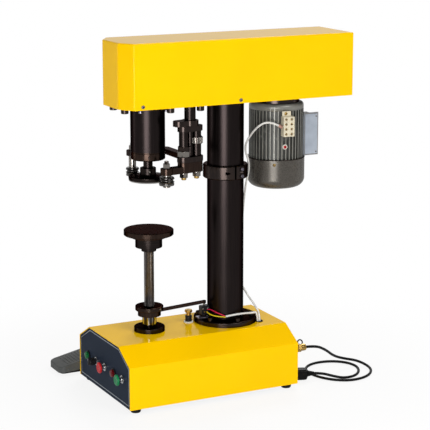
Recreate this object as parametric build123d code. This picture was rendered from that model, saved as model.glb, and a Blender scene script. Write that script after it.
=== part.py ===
from build123d import *
import os
from math import atan2, cos, degrees, dist, hypot, radians, sin, tan

# Bench can seamer. Millimetres, +Z up. Drawn about the point on the bench under the middle of the base.
# The files are shifted so that their origin lies on the bench under the middle of everything but the cord
# and plug. +X runs from the control panel to the mains lead, -Y is the operator's side.

# Whole machine
OVERALL_HEIGHT = 764.0

# Base housing
BASE_LENGTH = 400.0
BASE_WIDTH = 276.0
BASE_TOP_WIDTH = 162.0
BASE_WALL_HEIGHT = 92.0
BASE_SLOPE_HEIGHT = 32.0
SHEET = 2.0
BOTTOM_PLATE = 3.0
FOOT_HEIGHT = 10.0
FOOT_RADIUS = 12.0
FOOT_INSET_X = 20.0
FOOT_INSET_Y = 17.0
PANEL_THICKNESS = 3.0
PANEL_RECESS = 1.0
PANEL_LIP = 8.0

# Panel controls
CONTROL_PITCH = 47.0
CONTROL_ROW_Y = -6.0
CONTROL_HEIGHT = 58.0
CONTROL_BODY_RADIUS = 10.0
CONTROL_BODY_LENGTH = 30.0
COLLAR_RADIUS = 8.0
COLLAR_LENGTH = 5.0
BUTTON_STEM_RADIUS = 5.0
BUTTON_CAP_RADIUS = 12.0
BUTTON_CAP_THICKNESS = 5.0
BUTTON_TRAVEL = 4.0
LAMP_RADIUS = 10.0
LAMP_LENGTH = 9.0
KNOB_RADIUS = 8.0
KNOB_LENGTH = 14.0

# Column
COLUMN_X = 92.0
COLUMN_RADIUS = 40.0
COLUMN_WALL = 6.0
COLUMN_FLANGE_RADIUS = 70.0
COLUMN_FLANGE_THICKNESS = 11.0
COLUMN_FLANGE_BOLT_CIRCLE = 59.0
COLUMN_FLANGE_BOLTS = 6
COLLAR_RING_RADIUS = 49.0
COLLAR_RING_HEIGHT = 30.0
COLLAR_RING_DROP = 140.0
COLLAR_RING_SLIT = 4.0

# Head
HEAD_LEFT = 176.0
HEAD_RIGHT = 367.0
HEAD_WIDTH = 148.0
HEAD_HEIGHT = 137.0
HEAD_CORNER_X = 21.5
HEAD_CORNER_Y = 34.0
HEAD_PLATE = 14.0
HEAD_SCREW_X = (-135.0, 91.0)

# Spindle
SPINDLE_X = -92.0
HOUSING_RADIUS = 36.75
HOUSING_FLANGE_RADIUS = 46.0
HOUSING_FLANGE_THICKNESS = 8.0
HOUSING_LENGTH = 98.0
HOUSING_CAP_LENGTH = 18.0
BEARING_BORE = 12.5
BEARING_RADIUS = 26.0
BEARING_WIDTH = 15.0
SPINDLE_NOSE_RADIUS = 10.0
SPINDLE_NOSE_LENGTH = 34.0
CHUCK_RADIUS = 42.0
CHUCK_LIP = 8.0
CHUCK_HUB_RADIUS = 17.0

# Belt drive
MOTOR_X = 217.0
SPINDLE_PULLEY_RADIUS = 30.0
MOTOR_PULLEY_RADIUS = 15.0
PULLEY_WIDTH = 18.0
PULLEY_LIFT = 12.0
BELT_WIDTH = 10.0
BELT_DEPTH = 8.0
BELT_GAP = 0.4

# Motor
MOTOR_RADIUS = 60.0
MOTOR_CORE_RADIUS = 55.5
MOTOR_FINS = 44
MOTOR_FIN_WIDTH = 2.6
MOTOR_FLANGE_THICKNESS = 27.0
MOTOR_BELL = 15.0
MOTOR_BELL_ROUNDING = 8.0
MOTOR_NECK_RADIUS = 50.0
MOTOR_BODY_LENGTH = 111.0
COWL_RADIUS = 63.0
COWL_LENGTH = 62.0
COWL_LAP = 4.0
COWL_WALL = 1.6
COWL_ROUNDING = 20.0
ROTOR_RADIUS = 30.0
MOTOR_SHAFT_RADIUS = 9.0
FAN_RADIUS = 46.0
FAN_HEIGHT = 22.0
FAN_DISC = 4.0
FAN_BLADE = 2.5
FAN_BLADE_HEIGHT = 17.0
FAN_CLEAR = 14.0
CAPACITOR_BOX = (30.0, 50.0, 87.0)
CAPACITOR_BOX_LAP = 10.0
CAPACITOR_BOX_DROP = 46.0
TERMINAL_BLOCK = (25.0, 17.0, 43.0)
TERMINAL_BLOCK_DROP = 37.0
TERMINAL_BLOCK_TURN = -7.5
TERMINAL_SCREW_RADIUS = 3.0

# Swinging seaming head
PIVOT_X = -18.0
PIVOT_Y = -52.0
PIVOT_RADIUS = 12.0
PIVOT_TOP_RADIUS = 8.0
PIVOT_DROP = 42.0
ROCKER_PLATE = 12.0
POST_RADIUS = 10.0
POST_SPACING = 33.0
ARM_TURN = 9.5
ARM_HUB_RADIUS = 13.0
POST_LENGTH = 115.0
SECOND_ARM_THICKNESS = 22.0
SECOND_ARM_TIP = 14.0
FIRST_ARM_THICKNESS = 12.0
ARM_HALF_WIDTH = 10.0
FIRST_ROLLER = (-98.0, 68.0)
SECOND_ROLLER = (-78.0, -63.0)
FIRST_ROLLER_RADIUS = 14.0
SECOND_ROLLER_RADIUS = 16.0
ROLLER_WIDTH = 18.0
ROLLER_PIN_RADIUS = 5.0
SEAM_ABOVE_CHUCK = 8.0
GEARBOX_LEFT = 34.0
GEARBOX_RIGHT = 40.0
GEARBOX_BEHIND = 13.0
GEARBOX_HEIGHT = 48.0
FEED_MOTOR_RADIUS = 14.0
FEED_MOTOR_LENGTH = 52.0
FEED_MOTOR_OFFSET = 24.0

# Can lift
LIFT_X = SPINDLE_X
GUIDE_FLANGE_RADIUS = 33.5
GUIDE_FLANGE_THICKNESS = 10.5
GUIDE_TUBE_RADIUS = 22.0
GUIDE_TUBE_LENGTH = 74.0
LIFT_SHAFT_RADIUS = 15.5
LIFT_SHAFT_SHOW = 23.5
LIFT_COLLAR_RADIUS = 30.5
LIFT_COLLAR_LOWER_RADIUS = 25.0
LIFT_COLLAR_STEP = 12.0
LIFT_COLLAR_HEIGHT = 22.0
SCREW_RADIUS = 11.0
SCREW_ENGAGED = 50.0
# Where the tray stands between the lift collar and the chuck
TRAY_SHARE = 0.61327
TRAY_RADIUS = 53.5
TRAY_THICKNESS = 11.5
TRAY_STEP_RADIUS = 38.0
TRAY_STEP = 6.0
HUB_RADIUS = 29.0
HUB_HEIGHT = 21.0
HUB_NECK_RADIUS = 16.0
HUB_NECK = 9.0
STUB_RADIUS = 10.0
TRAY_BEARING_RADIUS = 17.0
TRAY_BEARING_WIDTH = 11.0
MAGNET_RADIUS = 42.0
MAGNET_HEIGHT = 44.0
MAGNET_FLOOR = 6.0
TRIP_ARM_ROOT = (-86.0, -18.0)
TRIP_ARM_END = (41.0, 1.5)
TRIP_ARM_HALF_WIDTH = 4.0
TRIP_ARM_THICKNESS = 6.0
TRIP_GAP = 0.5
TRIP_SWITCH = (18.0, 12.0, 20.0)
SWITCH_PLUNGER_RADIUS = 2.5
SWITCH_PLUNGER_SHOW = 4.5
SWITCH_TRAVEL = 1.5
BRACKET_SHEET = 3.0

# Small things on and around the base
EARTH_POST = (10.0, 17.0)
EARTH_WASHER_RADIUS = 10.5
EARTH_WASHER = 3.0
EARTH_BODY_RADIUS = 7.5
EARTH_BODY = 13.0
EARTH_SCREW_RADIUS = 2.5
EARTH_SCREW_DEPTH = 8.0
EARTH_NECK_RADIUS = 5.0
EARTH_NECK = 7.0
EARTH_HEAD_RADIUS = 8.0
EARTH_HEAD = 6.0
CONTACTOR = (45.0, 60.0, 62.0)
CONTACTOR_CORNER = (40.0, 10.0)
CONTACTOR_SLOT = (20.0, 12.0)
TIMER = (38.0, 52.0, 70.0)
TIMER_CORNER = (100.0, 14.0)
CABLE_HOLE = (152.5, -46.0)
CABLE_HOLE_RADIUS = 7.0
GLAND_INSET = 14.0
GLAND_HEIGHT = 76.0
GLAND_NUT_START = 6.0
GLAND_NUT_WIDTH = 8.0
GLAND_NUT_STEP = 2.0
GLAND_RADIUS = 7.5
GLAND_LENGTH = 26.0
CORD_DIAMETER = 6.0
CABLE_DIAMETER = 4.4
WIRE_DIAMETER = 2.4

# Mains cord: X from the base's end, Y, and Z where it leaves the bench
CORD_LIE = 3.2
CORD_STRAIGHT = 50.0
CORD_FALL = ((92.0, -100.0, 64.0), (130.0, -72.0, 36.0), (168.0, -53.0, 19.0), (202.0, -58.0, 11.0),
             (213.0, -92.0, 5.0))
CORD_COIL = ((200.0, -124.0), (168.0, -150.0), (128.0, -156.0), (96.0, -138.0), (76.0, -108.0), (68.0, -72.0),
             (76.0, -36.0), (106.0, -12.0), (146.0, -10.0), (180.0, -30.0), (193.0, -66.0), (180.0, -104.0),
             (152.0, -132.0), (120.0, -134.0))
CORD_RISE = ((100.0, -120.0, 7.0), (81.0, -106.0, 12.0), (63.0, -100.0, 13.0))
PLUG_LENGTH = 26.0
PLUG_WIDTH = 26.0
PLUG_ROUNDING = 7.0
PLUG_RELIEF = 16.0
PLUG_RELIEF_RADII = (4.2, 7.5)
PLUG_PIN_RADIUS = 2.2
PLUG_PIN_LENGTH = 15.0
PLUG_PIN_SPACING = 16.0

# Cables: X, Y and the drop below the head or the rise over the column's flange
LEAD_UPPER = ((194.2, -66.0, 60.0), (168.0, -66.0, 45.0), (147.0, -50.0, 53.0), (139.0, -10.0, 92.0),
              (139.5, 0.0, 115.0), (144.5, -11.0, 140.0), (144.5, -9.0, 165.0), (140.5, 0.0, 195.0))
LEAD_LOWER = ((134.0, 14.0, 130.0), (134.5, 12.0, 70.0), (141.5, -6.0, 45.0), (150.0, -34.0, 21.0))
SHEATH_ROUTE = ((72.0, -42.0, 9.0), (90.0, -47.0, 12.0), (112.0, -50.0, 13.0), (134.0, -48.0, 11.0))
RED_WIRE = ((48.0, -14.0, 22.0), (54.0, -28.0, 17.0), (71.0, -41.0, 10.0))
RED_WIRE_START = (46.0, 19.0)
YELLOW_WIRE = ((45.0, -16.0, 11.0), (52.0, -32.0, 9.0), (71.0, -44.0, 8.0))
YELLOW_WIRE_START = (44.0, 14.0)
CABLE_DEPTH = 24.0

# Foot switch
PEDAL_CORNER = (-232.0, 178.0)
PEDAL_LENGTH = 100.0
PEDAL_WIDTH = 72.0
PEDAL_TOE = 16.0
PEDAL_HEEL = 37.0
PEDAL_WALL = 3.0
PEDAL_ROUNDING = 14.0
PEDAL_TRAVEL = 5.0
PEDAL_PIN_RADIUS = 3.0
PEDAL_BASE_HEIGHT = 12.0

# Fits
RUNNING_FIT = 0.05
SEAT_GAP = 0.15
CLEAR = 0.3
PASS = 1.0

# Levels
base_bottom = FOOT_HEIGHT
base_shoulder = base_bottom + BASE_WALL_HEIGHT
base_top = base_shoulder + BASE_SLOPE_HEIGHT
plate_top = base_bottom + BOTTOM_PLATE
head_top = OVERALL_HEIGHT
head_bottom = head_top - HEAD_HEIGHT
head_deck = head_bottom + HEAD_PLATE
pulley_low = head_deck + PULLEY_LIFT
pulley_mid = pulley_low + PULLEY_WIDTH / 2
housing_low = head_bottom - HOUSING_LENGTH
cap_low = housing_low - HOUSING_CAP_LENGTH
nose_low = cap_low - SPINDLE_NOSE_LENGTH
chuck_low = nose_low - CHUCK_LIP - 4.0
chuck_lip_top = chuck_low + CHUCK_LIP
motor_top = head_bottom - MOTOR_FLANGE_THICKNESS
motor_low = motor_top - MOTOR_BODY_LENGTH
cowl_low = motor_low - COWL_LENGTH
rocker_top = head_bottom - PIVOT_DROP + ROCKER_PLATE
rocker_mid = rocker_top - ROCKER_PLATE
rocker_low = rocker_mid - ROCKER_PLATE
post_low = rocker_mid - POST_LENGTH
arm_low = post_low + 16.0
arm_top = arm_low + SECOND_ARM_THICKNESS
first_arm_top = arm_top + FIRST_ARM_THICKNESS
roller_mid = chuck_low + SEAM_ABOVE_CHUCK
roller_low = roller_mid - ROLLER_WIDTH / 2
roller_top = roller_mid + ROLLER_WIDTH / 2
guide_top = base_top + GUIDE_FLANGE_THICKNESS
guide_low = base_top - GUIDE_TUBE_LENGTH
collar_low = guide_top + LIFT_SHAFT_SHOW
collar_top = collar_low + LIFT_COLLAR_HEIGHT
collar_step = collar_low + LIFT_COLLAR_STEP
shaft_low = plate_top + MAGNET_FLOOR
tray_top = collar_top + TRAY_SHARE * (chuck_low - collar_top)
tray_disc_low = tray_top - TRAY_THICKNESS
tray_low = tray_disc_low - TRAY_STEP
hub_top = tray_low - SEAT_GAP
hub_low = hub_top - HUB_HEIGHT
neck_low = hub_low - HUB_NECK
screw_low = collar_top - SCREW_ENGAGED
magnet_top = plate_top + MAGNET_HEIGHT
trip_low = collar_step - 2.0
flange_top = base_top + COLUMN_FLANGE_THICKNESS

# Places
panel_front = -BASE_LENGTH / 2 + PANEL_RECESS
panel_back = panel_front + PANEL_THICKNESS
control_z = base_bottom + CONTROL_HEIGHT
green_lamp_y = CONTROL_ROW_Y + 2 * CONTROL_PITCH
knob_y = CONTROL_ROW_Y + CONTROL_PITCH
red_button_y = CONTROL_ROW_Y
red_lamp_y = CONTROL_ROW_Y - CONTROL_PITCH
green_button_y = CONTROL_ROW_Y - 2 * CONTROL_PITCH
gland_y = -BASE_WIDTH / 2 + GLAND_INSET
gland_z = base_bottom + GLAND_HEIGHT
middle_x = (PEDAL_CORNER[0] + HEAD_RIGHT) / 2
middle_y = (PEDAL_CORNER[1] + PEDAL_WIDTH - BASE_WIDTH / 2) / 2
arm_direction = (cos(radians(ARM_TURN)), sin(radians(ARM_TURN)))
left_post = (PIVOT_X - arm_direction[0] * POST_SPACING / 2, PIVOT_Y - arm_direction[1] * POST_SPACING / 2)
right_post = (PIVOT_X + arm_direction[0] * POST_SPACING / 2, PIVOT_Y + arm_direction[1] * POST_SPACING / 2)
pedal_pin_x = PEDAL_CORNER[0] + PEDAL_WALL + 10.0
pedal_pin_z = PEDAL_BASE_HEIGHT - 5.0


def cylinder(radius, low, high, x=0.0, y=0.0):
    """Upright cylinder between two levels."""
    return Pos(x, y, (low + high) / 2) * Cylinder(radius, high - low)


def ring(outer, inner, low, high, x=0.0, y=0.0):
    """Upright ring between two levels."""
    return cylinder(outer, low, high, x, y) - cylinder(inner, low - 1, high + 1, x, y)


def block(x0, x1, y0, y1, z0, z1):
    """Box between six limits."""
    return Pos((x0 + x1) / 2, (y0 + y1) / 2, (z0 + z1) / 2) * Box(x1 - x0, y1 - y0, z1 - z0)


def rod_x(radius, x0, x1, y, z):
    """Cylinder lying along X."""
    return Pos((x0 + x1) / 2, y, z) * Rot(0, 90, 0) * Cylinder(radius, x1 - x0)


def rod_y(radius, y0, y1, x, z):
    """Cylinder lying along Y."""
    return Pos(x, (y0 + y1) / 2, z) * Rot(90, 0, 0) * Cylinder(radius, abs(y1 - y0))


def bar(start, end, half_width, low, high):
    """Flat bar with round ends between two points in plan."""
    turn = degrees(atan2(end[1] - start[1], end[0] - start[0]))
    middle = Pos((start[0] + end[0]) / 2, (start[1] + end[1]) / 2, low)
    slot = extrude(SlotCenterToCenter(dist(start, end), 2 * half_width), high - low)
    return middle * Rot(0, 0, turn) * slot


def hexagon(radius, low, high, x, y):
    """Upright hexagon prism, such as a nut, by its corner radius."""
    return Pos(x, y, low) * extrude(RegularPolygon(radius, 6), high - low)


def group(pieces):
    """Several separate solids in one node."""
    return Compound([solid for piece in pieces for solid in piece.solids()])


def spring(radius, wire, turns, height):
    """Coil spring standing on the XY plane."""
    path = Helix(pitch=height / turns, height=height, radius=radius)
    section = Plane(origin=path @ 0, z_dir=path % 0) * Circle(wire / 2)
    return sweep(section, path=path, is_frenet=True)


def rounded_tube(points, diameter, share=0.45):
    """Tube along straight runs joined by tangent arcs, each as wide as its shorter run allows."""
    corners = [Vector(*p) for p in points]
    radii = []
    for before, here, after in zip(corners, corners[1:], corners[2:]):
        half_turn = radians((here - before).get_angle(after - here)) / 2
        shorter = min((here - before).length, (after - here).length)
        radii.append(share * shorter / tan(half_turn))
    path = FilletPolyline(*points, radius=radii)
    section = Plane(origin=path @ 0, z_dir=path % 0) * Circle(diameter / 2)
    return sweep(section, path=path)


def base_section(inset, low):
    """Cross-section of the base with its sloping shoulders, set in on all but its lower side."""
    half, half_top = BASE_WIDTH / 2, BASE_TOP_WIDTH / 2
    run, rise = half - half_top, BASE_SLOPE_HEIGHT
    slope = hypot(run, rise)
    shoulder = base_shoulder + inset * (rise - slope) / run
    top = base_top - inset
    top_half = half - (inset * slope + (top - base_shoulder) * run) / rise
    side = half - inset
    corners = [(-side, low), (side, low), (side, shoulder), (top_half, top), (-top_half, top),
               (-side, shoulder)]
    return Plane.YZ * Polygon(*corners, align=None)


def base_prism(inset, low, x0, x1):
    """Solid of the base's section between two places along X."""
    return Pos(x0, 0, 0) * extrude(base_section(inset, low), x1 - x0)


def foot_places():
    """Centres of the four feet."""
    x, y = BASE_LENGTH / 2 - FOOT_INSET_X, BASE_WIDTH / 2 - FOOT_INSET_Y
    return [(-x, -y), (-x, y), (x, -y), (x, y)]


def flange_bolt_places():
    """Centres of the bolts in the column's flange."""
    turns = [radians(360 / COLUMN_FLANGE_BOLTS * (i + 0.5)) for i in range(COLUMN_FLANGE_BOLTS)]
    reach = COLUMN_FLANGE_BOLT_CIRCLE
    return [(COLUMN_X + reach * cos(t), reach * sin(t)) for t in turns]


def housing_bolt_places():
    """Centres of the screws in the spindle housing's flange."""
    reach = (HOUSING_RADIUS + HOUSING_FLANGE_RADIUS) / 2
    turns = [radians(45 + 90 * i) for i in range(4)]
    return [(SPINDLE_X + reach * cos(t), reach * sin(t)) for t in turns]


def head_bolt_places():
    """Centres of the large screws that hang under the head plate."""
    left = -HEAD_LEFT + 19.0
    side = HEAD_WIDTH / 2 - 13.0
    return [(left, -30.0), (left, 30.0), (-67.0, -side), (-67.0, side), (PIVOT_X + 20.0, -side)]


parts = {}


def build_base():
    """Sheet housing, bottom plate and feet."""
    end = BASE_LENGTH / 2
    housing = base_prism(0, base_bottom, -end, end)
    housing -= base_prism(SHEET, base_bottom - 1, -end - 1, end - SHEET)
    lip = base_prism(SHEET, base_bottom, panel_back, panel_back + SHEET)
    lip -= base_prism(SHEET + PANEL_LIP, base_bottom - 1, panel_back - 1, panel_back + SHEET + 1)
    housing += lip - block(-end, end, -BASE_WIDTH, BASE_WIDTH, 0, plate_top)
    housing -= cylinder(GUIDE_TUBE_RADIUS + SEAT_GAP, base_top - 10, base_top + 1, LIFT_X)
    housing -= cylinder(CABLE_HOLE_RADIUS, base_top - 10, base_top + 1, *CABLE_HOLE)
    housing -= cylinder(3.0, base_top - 10, base_top + 1, *EARTH_POST)
    for x, y in flange_bolt_places():
        housing -= cylinder(4.0 + SEAT_GAP, base_top - 10, base_top + 1, x, y)
    housing -= rod_x(GLAND_RADIUS - 1.5 + SEAT_GAP, end - 10, end + 1, gland_y, gland_z)
    parts["base_housing"] = housing

    side = BASE_WIDTH / 2 - SHEET - SEAT_GAP
    plate = block(panel_back + SEAT_GAP, end - SHEET - SEAT_GAP, -side, side, base_bottom, plate_top)
    for x, y in foot_places():
        plate -= cylinder(3.0 + SEAT_GAP, base_bottom - 1, plate_top + 1, x, y)
    parts["bottom_plate"] = plate

    foot = Cone(FOOT_RADIUS - 2.0, FOOT_RADIUS, FOOT_HEIGHT) - Pos(0, 0, -2) * Cylinder(6.0, FOOT_HEIGHT)
    foot -= Cylinder(3.0 + SEAT_GAP, FOOT_HEIGHT + 2)
    parts["rubber_feet"] = group(Pos(x, y, FOOT_HEIGHT / 2) * foot for x, y in foot_places())


def build_panel():
    """Control panel with its lamps, selector and push buttons."""
    panel = base_prism(SHEET + SEAT_GAP, base_bottom + SEAT_GAP, panel_front, panel_back)
    rows = [green_lamp_y, knob_y, red_button_y, red_lamp_y, green_button_y]
    for y in rows:
        panel -= rod_x(COLLAR_RADIUS - 2.0, panel_front - 1, panel_back + 1, y, control_z)
    parts["control_panel"] = panel

    neck = COLLAR_RADIUS - 2.0 - SEAT_GAP
    lamps = []
    for y in (green_lamp_y, red_lamp_y):
        lens = rod_x(LAMP_RADIUS, panel_front - LAMP_LENGTH, panel_front, y, control_z)
        lens = fillet(lens.edges().group_by(Axis.X)[0], 4.0)
        lamps.append(lens + rod_x(neck, panel_front, panel_back + CONTROL_BODY_LENGTH, y, control_z))
    parts["panel_lamps"] = group(lamps)

    bodies = []
    bore = BUTTON_STEM_RADIUS + RUNNING_FIT
    well = BUTTON_STEM_RADIUS + 1.5
    for y in (knob_y, red_button_y, green_button_y):
        body = rod_x(COLLAR_RADIUS, panel_front - COLLAR_LENGTH, panel_front, y, control_z)
        body += rod_x(neck, panel_front, panel_back, y, control_z)
        body += rod_x(CONTROL_BODY_RADIUS, panel_back, panel_back + CONTROL_BODY_LENGTH, y, control_z)
        body -= rod_x(bore, panel_front - COLLAR_LENGTH - 1, panel_back + 3, y, control_z)
        body -= rod_x(well, panel_back + 3, panel_back + CONTROL_BODY_LENGTH - 2, y, control_z)
        bodies.append(body)
    parts["button_bodies"] = group(bodies)

    stem_back = panel_back + 3 + 8.0
    reach = panel_front - COLLAR_LENGTH - BUTTON_TRAVEL - CLEAR - 3.0
    for name, y in (("red_button", red_button_y), ("green_button", green_button_y)):
        cap = rod_x(BUTTON_CAP_RADIUS, reach - BUTTON_CAP_THICKNESS, reach, y, control_z)
        cap = fillet(cap.edges().group_by(Axis.X)[0], 2.0)
        parts[name] = cap + rod_x(BUTTON_STEM_RADIUS, reach, stem_back, y, control_z)

    tip = panel_front - COLLAR_LENGTH - CLEAR - KNOB_LENGTH
    knob = rod_x(KNOB_RADIUS, tip, tip + KNOB_LENGTH, knob_y, control_z)
    knob = fillet(knob.edges().group_by(Axis.X)[0], 1.5)
    high = control_z + KNOB_RADIUS + 2.0
    knob += block(tip - 2.0, tip + KNOB_LENGTH, knob_y - 2.5, knob_y + 2.5, control_z, high)
    parts["selector_knob"] = knob + rod_x(BUTTON_STEM_RADIUS, tip + KNOB_LENGTH, stem_back, knob_y, control_z)
    return stem_back


def build_springs(stem_back):
    """Return springs of the push buttons and the pedal, at their pressed lengths."""
    wire = 1.0
    front = stem_back + BUTTON_TRAVEL + CLEAR + wire / 2
    back = panel_back + CONTROL_BODY_LENGTH - 2 - CLEAR - wire / 2
    coil = spring(BUTTON_STEM_RADIUS - 1.0, wire, 5, back - front)
    pieces = [Pos(front, y, control_z) * Rot(0, 90, 0) * coil for y in (red_button_y, green_button_y)]
    spot = PEDAL_CORNER[0] + PEDAL_LENGTH - 24.0
    share = (spot - PEDAL_CORNER[0]) / PEDAL_LENGTH
    under = PEDAL_TOE + (PEDAL_HEEL - PEDAL_TOE) * share - 3 * PEDAL_WALL
    drop = (spot + 7.0 - pedal_pin_x) * tan(radians(PEDAL_TRAVEL))
    low = PEDAL_BASE_HEIGHT + CLEAR + 0.8
    coil = spring(7.0, 1.6, 4, under - drop - low)
    pieces.append(Pos(spot, PEDAL_CORNER[1] + PEDAL_WIDTH / 2, low) * coil)
    parts["return_springs"] = group(pieces)


def build_column():
    """Column tube, its foot flange and the split collar around it."""
    tube = ring(COLUMN_RADIUS, COLUMN_RADIUS - COLUMN_WALL, base_top, head_deck, COLUMN_X)
    parts["column"] = tube
    flange = ring(COLUMN_FLANGE_RADIUS, COLUMN_RADIUS + SEAT_GAP, base_top, flange_top, COLUMN_X)
    rim = flange.edges().filter_by(GeomType.CIRCLE).group_by(Axis.Z)[-1].sort_by(SortBy.RADIUS)[-1]
    flange = chamfer(rim, 1.5)
    for x, y in flange_bolt_places():
        flange -= cylinder(4.0 + SEAT_GAP, base_top - 1, flange_top + 1, x, y)
    parts["column_flange"] = flange

    low = head_bottom - COLLAR_RING_DROP - COLLAR_RING_HEIGHT
    high = low + COLLAR_RING_HEIGHT
    collar = ring(COLLAR_RING_RADIUS, COLUMN_RADIUS + SEAT_GAP, low, high, COLUMN_X)
    collar = chamfer(collar.edges().filter_by(GeomType.CIRCLE).sort_by(SortBy.RADIUS)[-2:], 2.0)
    slit = COLLAR_RING_SLIT / 2
    collar -= block(COLUMN_X - slit, COLUMN_X + slit, -COLLAR_RING_RADIUS - 1, 0, low - 1, high + 1)
    flat = COLUMN_RADIUS + (COLLAR_RING_RADIUS - COLUMN_RADIUS) / 2
    collar -= rod_x(3.0 + SEAT_GAP, COLUMN_X - 22, COLUMN_X + 22, -flat, (low + high) / 2)
    parts["column_collar"] = collar


def build_screws():
    """Screws of the feet, the head cover, the column's flange, the head plate and the spindle housing."""
    pieces = []
    for x, y in foot_places():
        pieces.append(cylinder(5.0, FOOT_HEIGHT - 5.0, FOOT_HEIGHT - 2.0, x, y)
                      + cylinder(3.0, FOOT_HEIGHT - 2.0, plate_top + 4.0, x, y))
    wall = HEAD_WIDTH / 2
    for x in HEAD_SCREW_X:
        for side in (-1, 1):
            head = rod_y(4.0, side * wall, side * (wall + 2.5), x, head_bottom + HEAD_PLATE / 2)
            shank = rod_y(2.0, side * (wall - 12.0), side * wall, x, head_bottom + HEAD_PLATE / 2)
            pieces.append(head + shank)
    for x, y in flange_bolt_places():
        pieces.append(cylinder(6.5, flange_top, flange_top + 8.0, x, y)
                      + cylinder(4.0, base_top - 14.0, flange_top, x, y))
    for x, y in head_bolt_places():
        pieces.append(cylinder(8.0, head_bottom - 11.0, head_bottom, x, y)
                      + cylinder(5.0, head_bottom, head_deck, x, y))
    under = head_bottom - HOUSING_FLANGE_THICKNESS
    for x, y in housing_bolt_places():
        pieces.append(cylinder(4.0, under - 5.0, under, x, y) + cylinder(2.5, under, head_deck - 2, x, y))
    parts["machine_screws"] = group(pieces)


def head_outline(inset):
    """Plan of the head, with its two cut corners at the spindle end."""
    left, right, side = -HEAD_LEFT + inset, HEAD_RIGHT - inset, HEAD_WIDTH / 2 - inset
    cut_x, cut_y = HEAD_CORNER_X, HEAD_CORNER_Y
    return Polygon((left, -side + cut_y), (left + cut_x, -side), (right, -side), (right, side),
                   (left + cut_x, side), (left, side - cut_y), align=None)


def build_head():
    """Head plate and the sheet cover over the drive."""
    gap = SHEET + SEAT_GAP
    plate = Pos(0, 0, head_bottom) * extrude(head_outline(gap), HEAD_PLATE)
    plate -= cylinder(BEARING_BORE + PASS, head_bottom - 1, head_deck + 1, SPINDLE_X)
    plate -= cylinder(COLUMN_RADIUS + SEAT_GAP, head_bottom - 1, head_deck + 1, COLUMN_X)
    plate -= cylinder(MOTOR_SHAFT_RADIUS + PASS, head_bottom - 1, head_deck + 1, MOTOR_X)
    plate -= cylinder(PIVOT_RADIUS + RUNNING_FIT, head_bottom - 1, head_deck + 1, PIVOT_X, PIVOT_Y)
    for x, y in head_bolt_places():
        plate -= cylinder(5.0 + SEAT_GAP, head_bottom - 1, head_deck + 1, x, y)
    for x, y in housing_bolt_places():
        plate -= cylinder(2.5 + SEAT_GAP, head_bottom - 1, head_deck + 1, x, y)
    cover = Pos(0, 0, head_bottom) * extrude(head_outline(0), HEAD_HEIGHT)
    cover -= Pos(0, 0, head_bottom - 1) * extrude(head_outline(SHEET), HEAD_HEIGHT - SHEET + 1)
    wall = HEAD_WIDTH / 2
    for x in HEAD_SCREW_X:
        hole = rod_y(2.0 + SEAT_GAP, -wall - 1, wall + 1, x, head_bottom + HEAD_PLATE / 2)
        keep = block(x - 9, x + 9, -wall + 14, wall - 14, head_bottom - 1, head_deck + 1)
        plate -= hole - keep
        cover -= hole - keep
    parts["head_plate"] = plate
    parts["head_cover"] = cover


def build_spindle():
    """Spindle housing, bearings, spindle, chuck and its pulley."""
    flange_low = head_bottom - HOUSING_FLANGE_THICKNESS
    housing = cylinder(HOUSING_RADIUS, housing_low, head_bottom, SPINDLE_X)
    housing += cylinder(HOUSING_FLANGE_RADIUS, flange_low, head_bottom, SPINDLE_X)
    shelf = 4.0
    housing -= cylinder(BEARING_RADIUS + SEAT_GAP, housing_low - 1, head_bottom - shelf, SPINDLE_X)
    housing -= cylinder(BEARING_BORE + PASS, housing_low, head_bottom + 1, SPINDLE_X)
    for x, y in housing_bolt_places():
        housing -= cylinder(2.5 + SEAT_GAP, flange_low - 1, head_bottom + 1, x, y)
        housing -= cylinder(4.0 + SEAT_GAP, housing_low, flange_low, x, y)
    parts["spindle_housing"] = housing

    cap = cylinder(HOUSING_RADIUS, cap_low, housing_low, SPINDLE_X)
    cap = chamfer(cap.edges().group_by(Axis.Z)[0] + cap.edges().group_by(Axis.Z)[-1], 1.0)
    parts["housing_cap"] = cap - cylinder(BEARING_BORE + PASS, cap_low - 1, housing_low + 1, SPINDLE_X)

    bearings = []
    for low in (housing_low, head_bottom - shelf - BEARING_WIDTH):
        high = low + BEARING_WIDTH
        bearings.append(ring(BEARING_RADIUS, BEARING_BORE + RUNNING_FIT, low, high, SPINDLE_X))
    parts["spindle_bearings"] = group(bearings)

    top = pulley_low + PULLEY_WIDTH
    spindle = cylinder(BEARING_BORE, cap_low, pulley_low, SPINDLE_X)
    spindle += cylinder(SPINDLE_NOSE_RADIUS, nose_low, cap_low, SPINDLE_X)
    spindle += cylinder(SPINDLE_NOSE_RADIUS, pulley_low, top + 8.0, SPINDLE_X)
    parts["spindle"] = spindle

    profile = Polyline((0, chuck_low), (CHUCK_RADIUS - 1.0, chuck_low), (CHUCK_RADIUS, chuck_lip_top),
                       (CHUCK_RADIUS, chuck_lip_top + 2.0), (CHUCK_HUB_RADIUS, chuck_lip_top + 5.0),
                       (CHUCK_HUB_RADIUS, nose_low + 16.0), (0, nose_low + 16.0), close=True)
    chuck = Pos(SPINDLE_X, 0, 0) * revolve(Plane.XZ * make_face(profile), Axis.Z)
    parts["chuck"] = chuck - cylinder(SPINDLE_NOSE_RADIUS + SEAT_GAP, nose_low, nose_low + 20.0, SPINDLE_X)
    parts["spindle_pulley"] = pulley(SPINDLE_PULLEY_RADIUS, SPINDLE_NOSE_RADIUS, SPINDLE_X)


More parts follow.
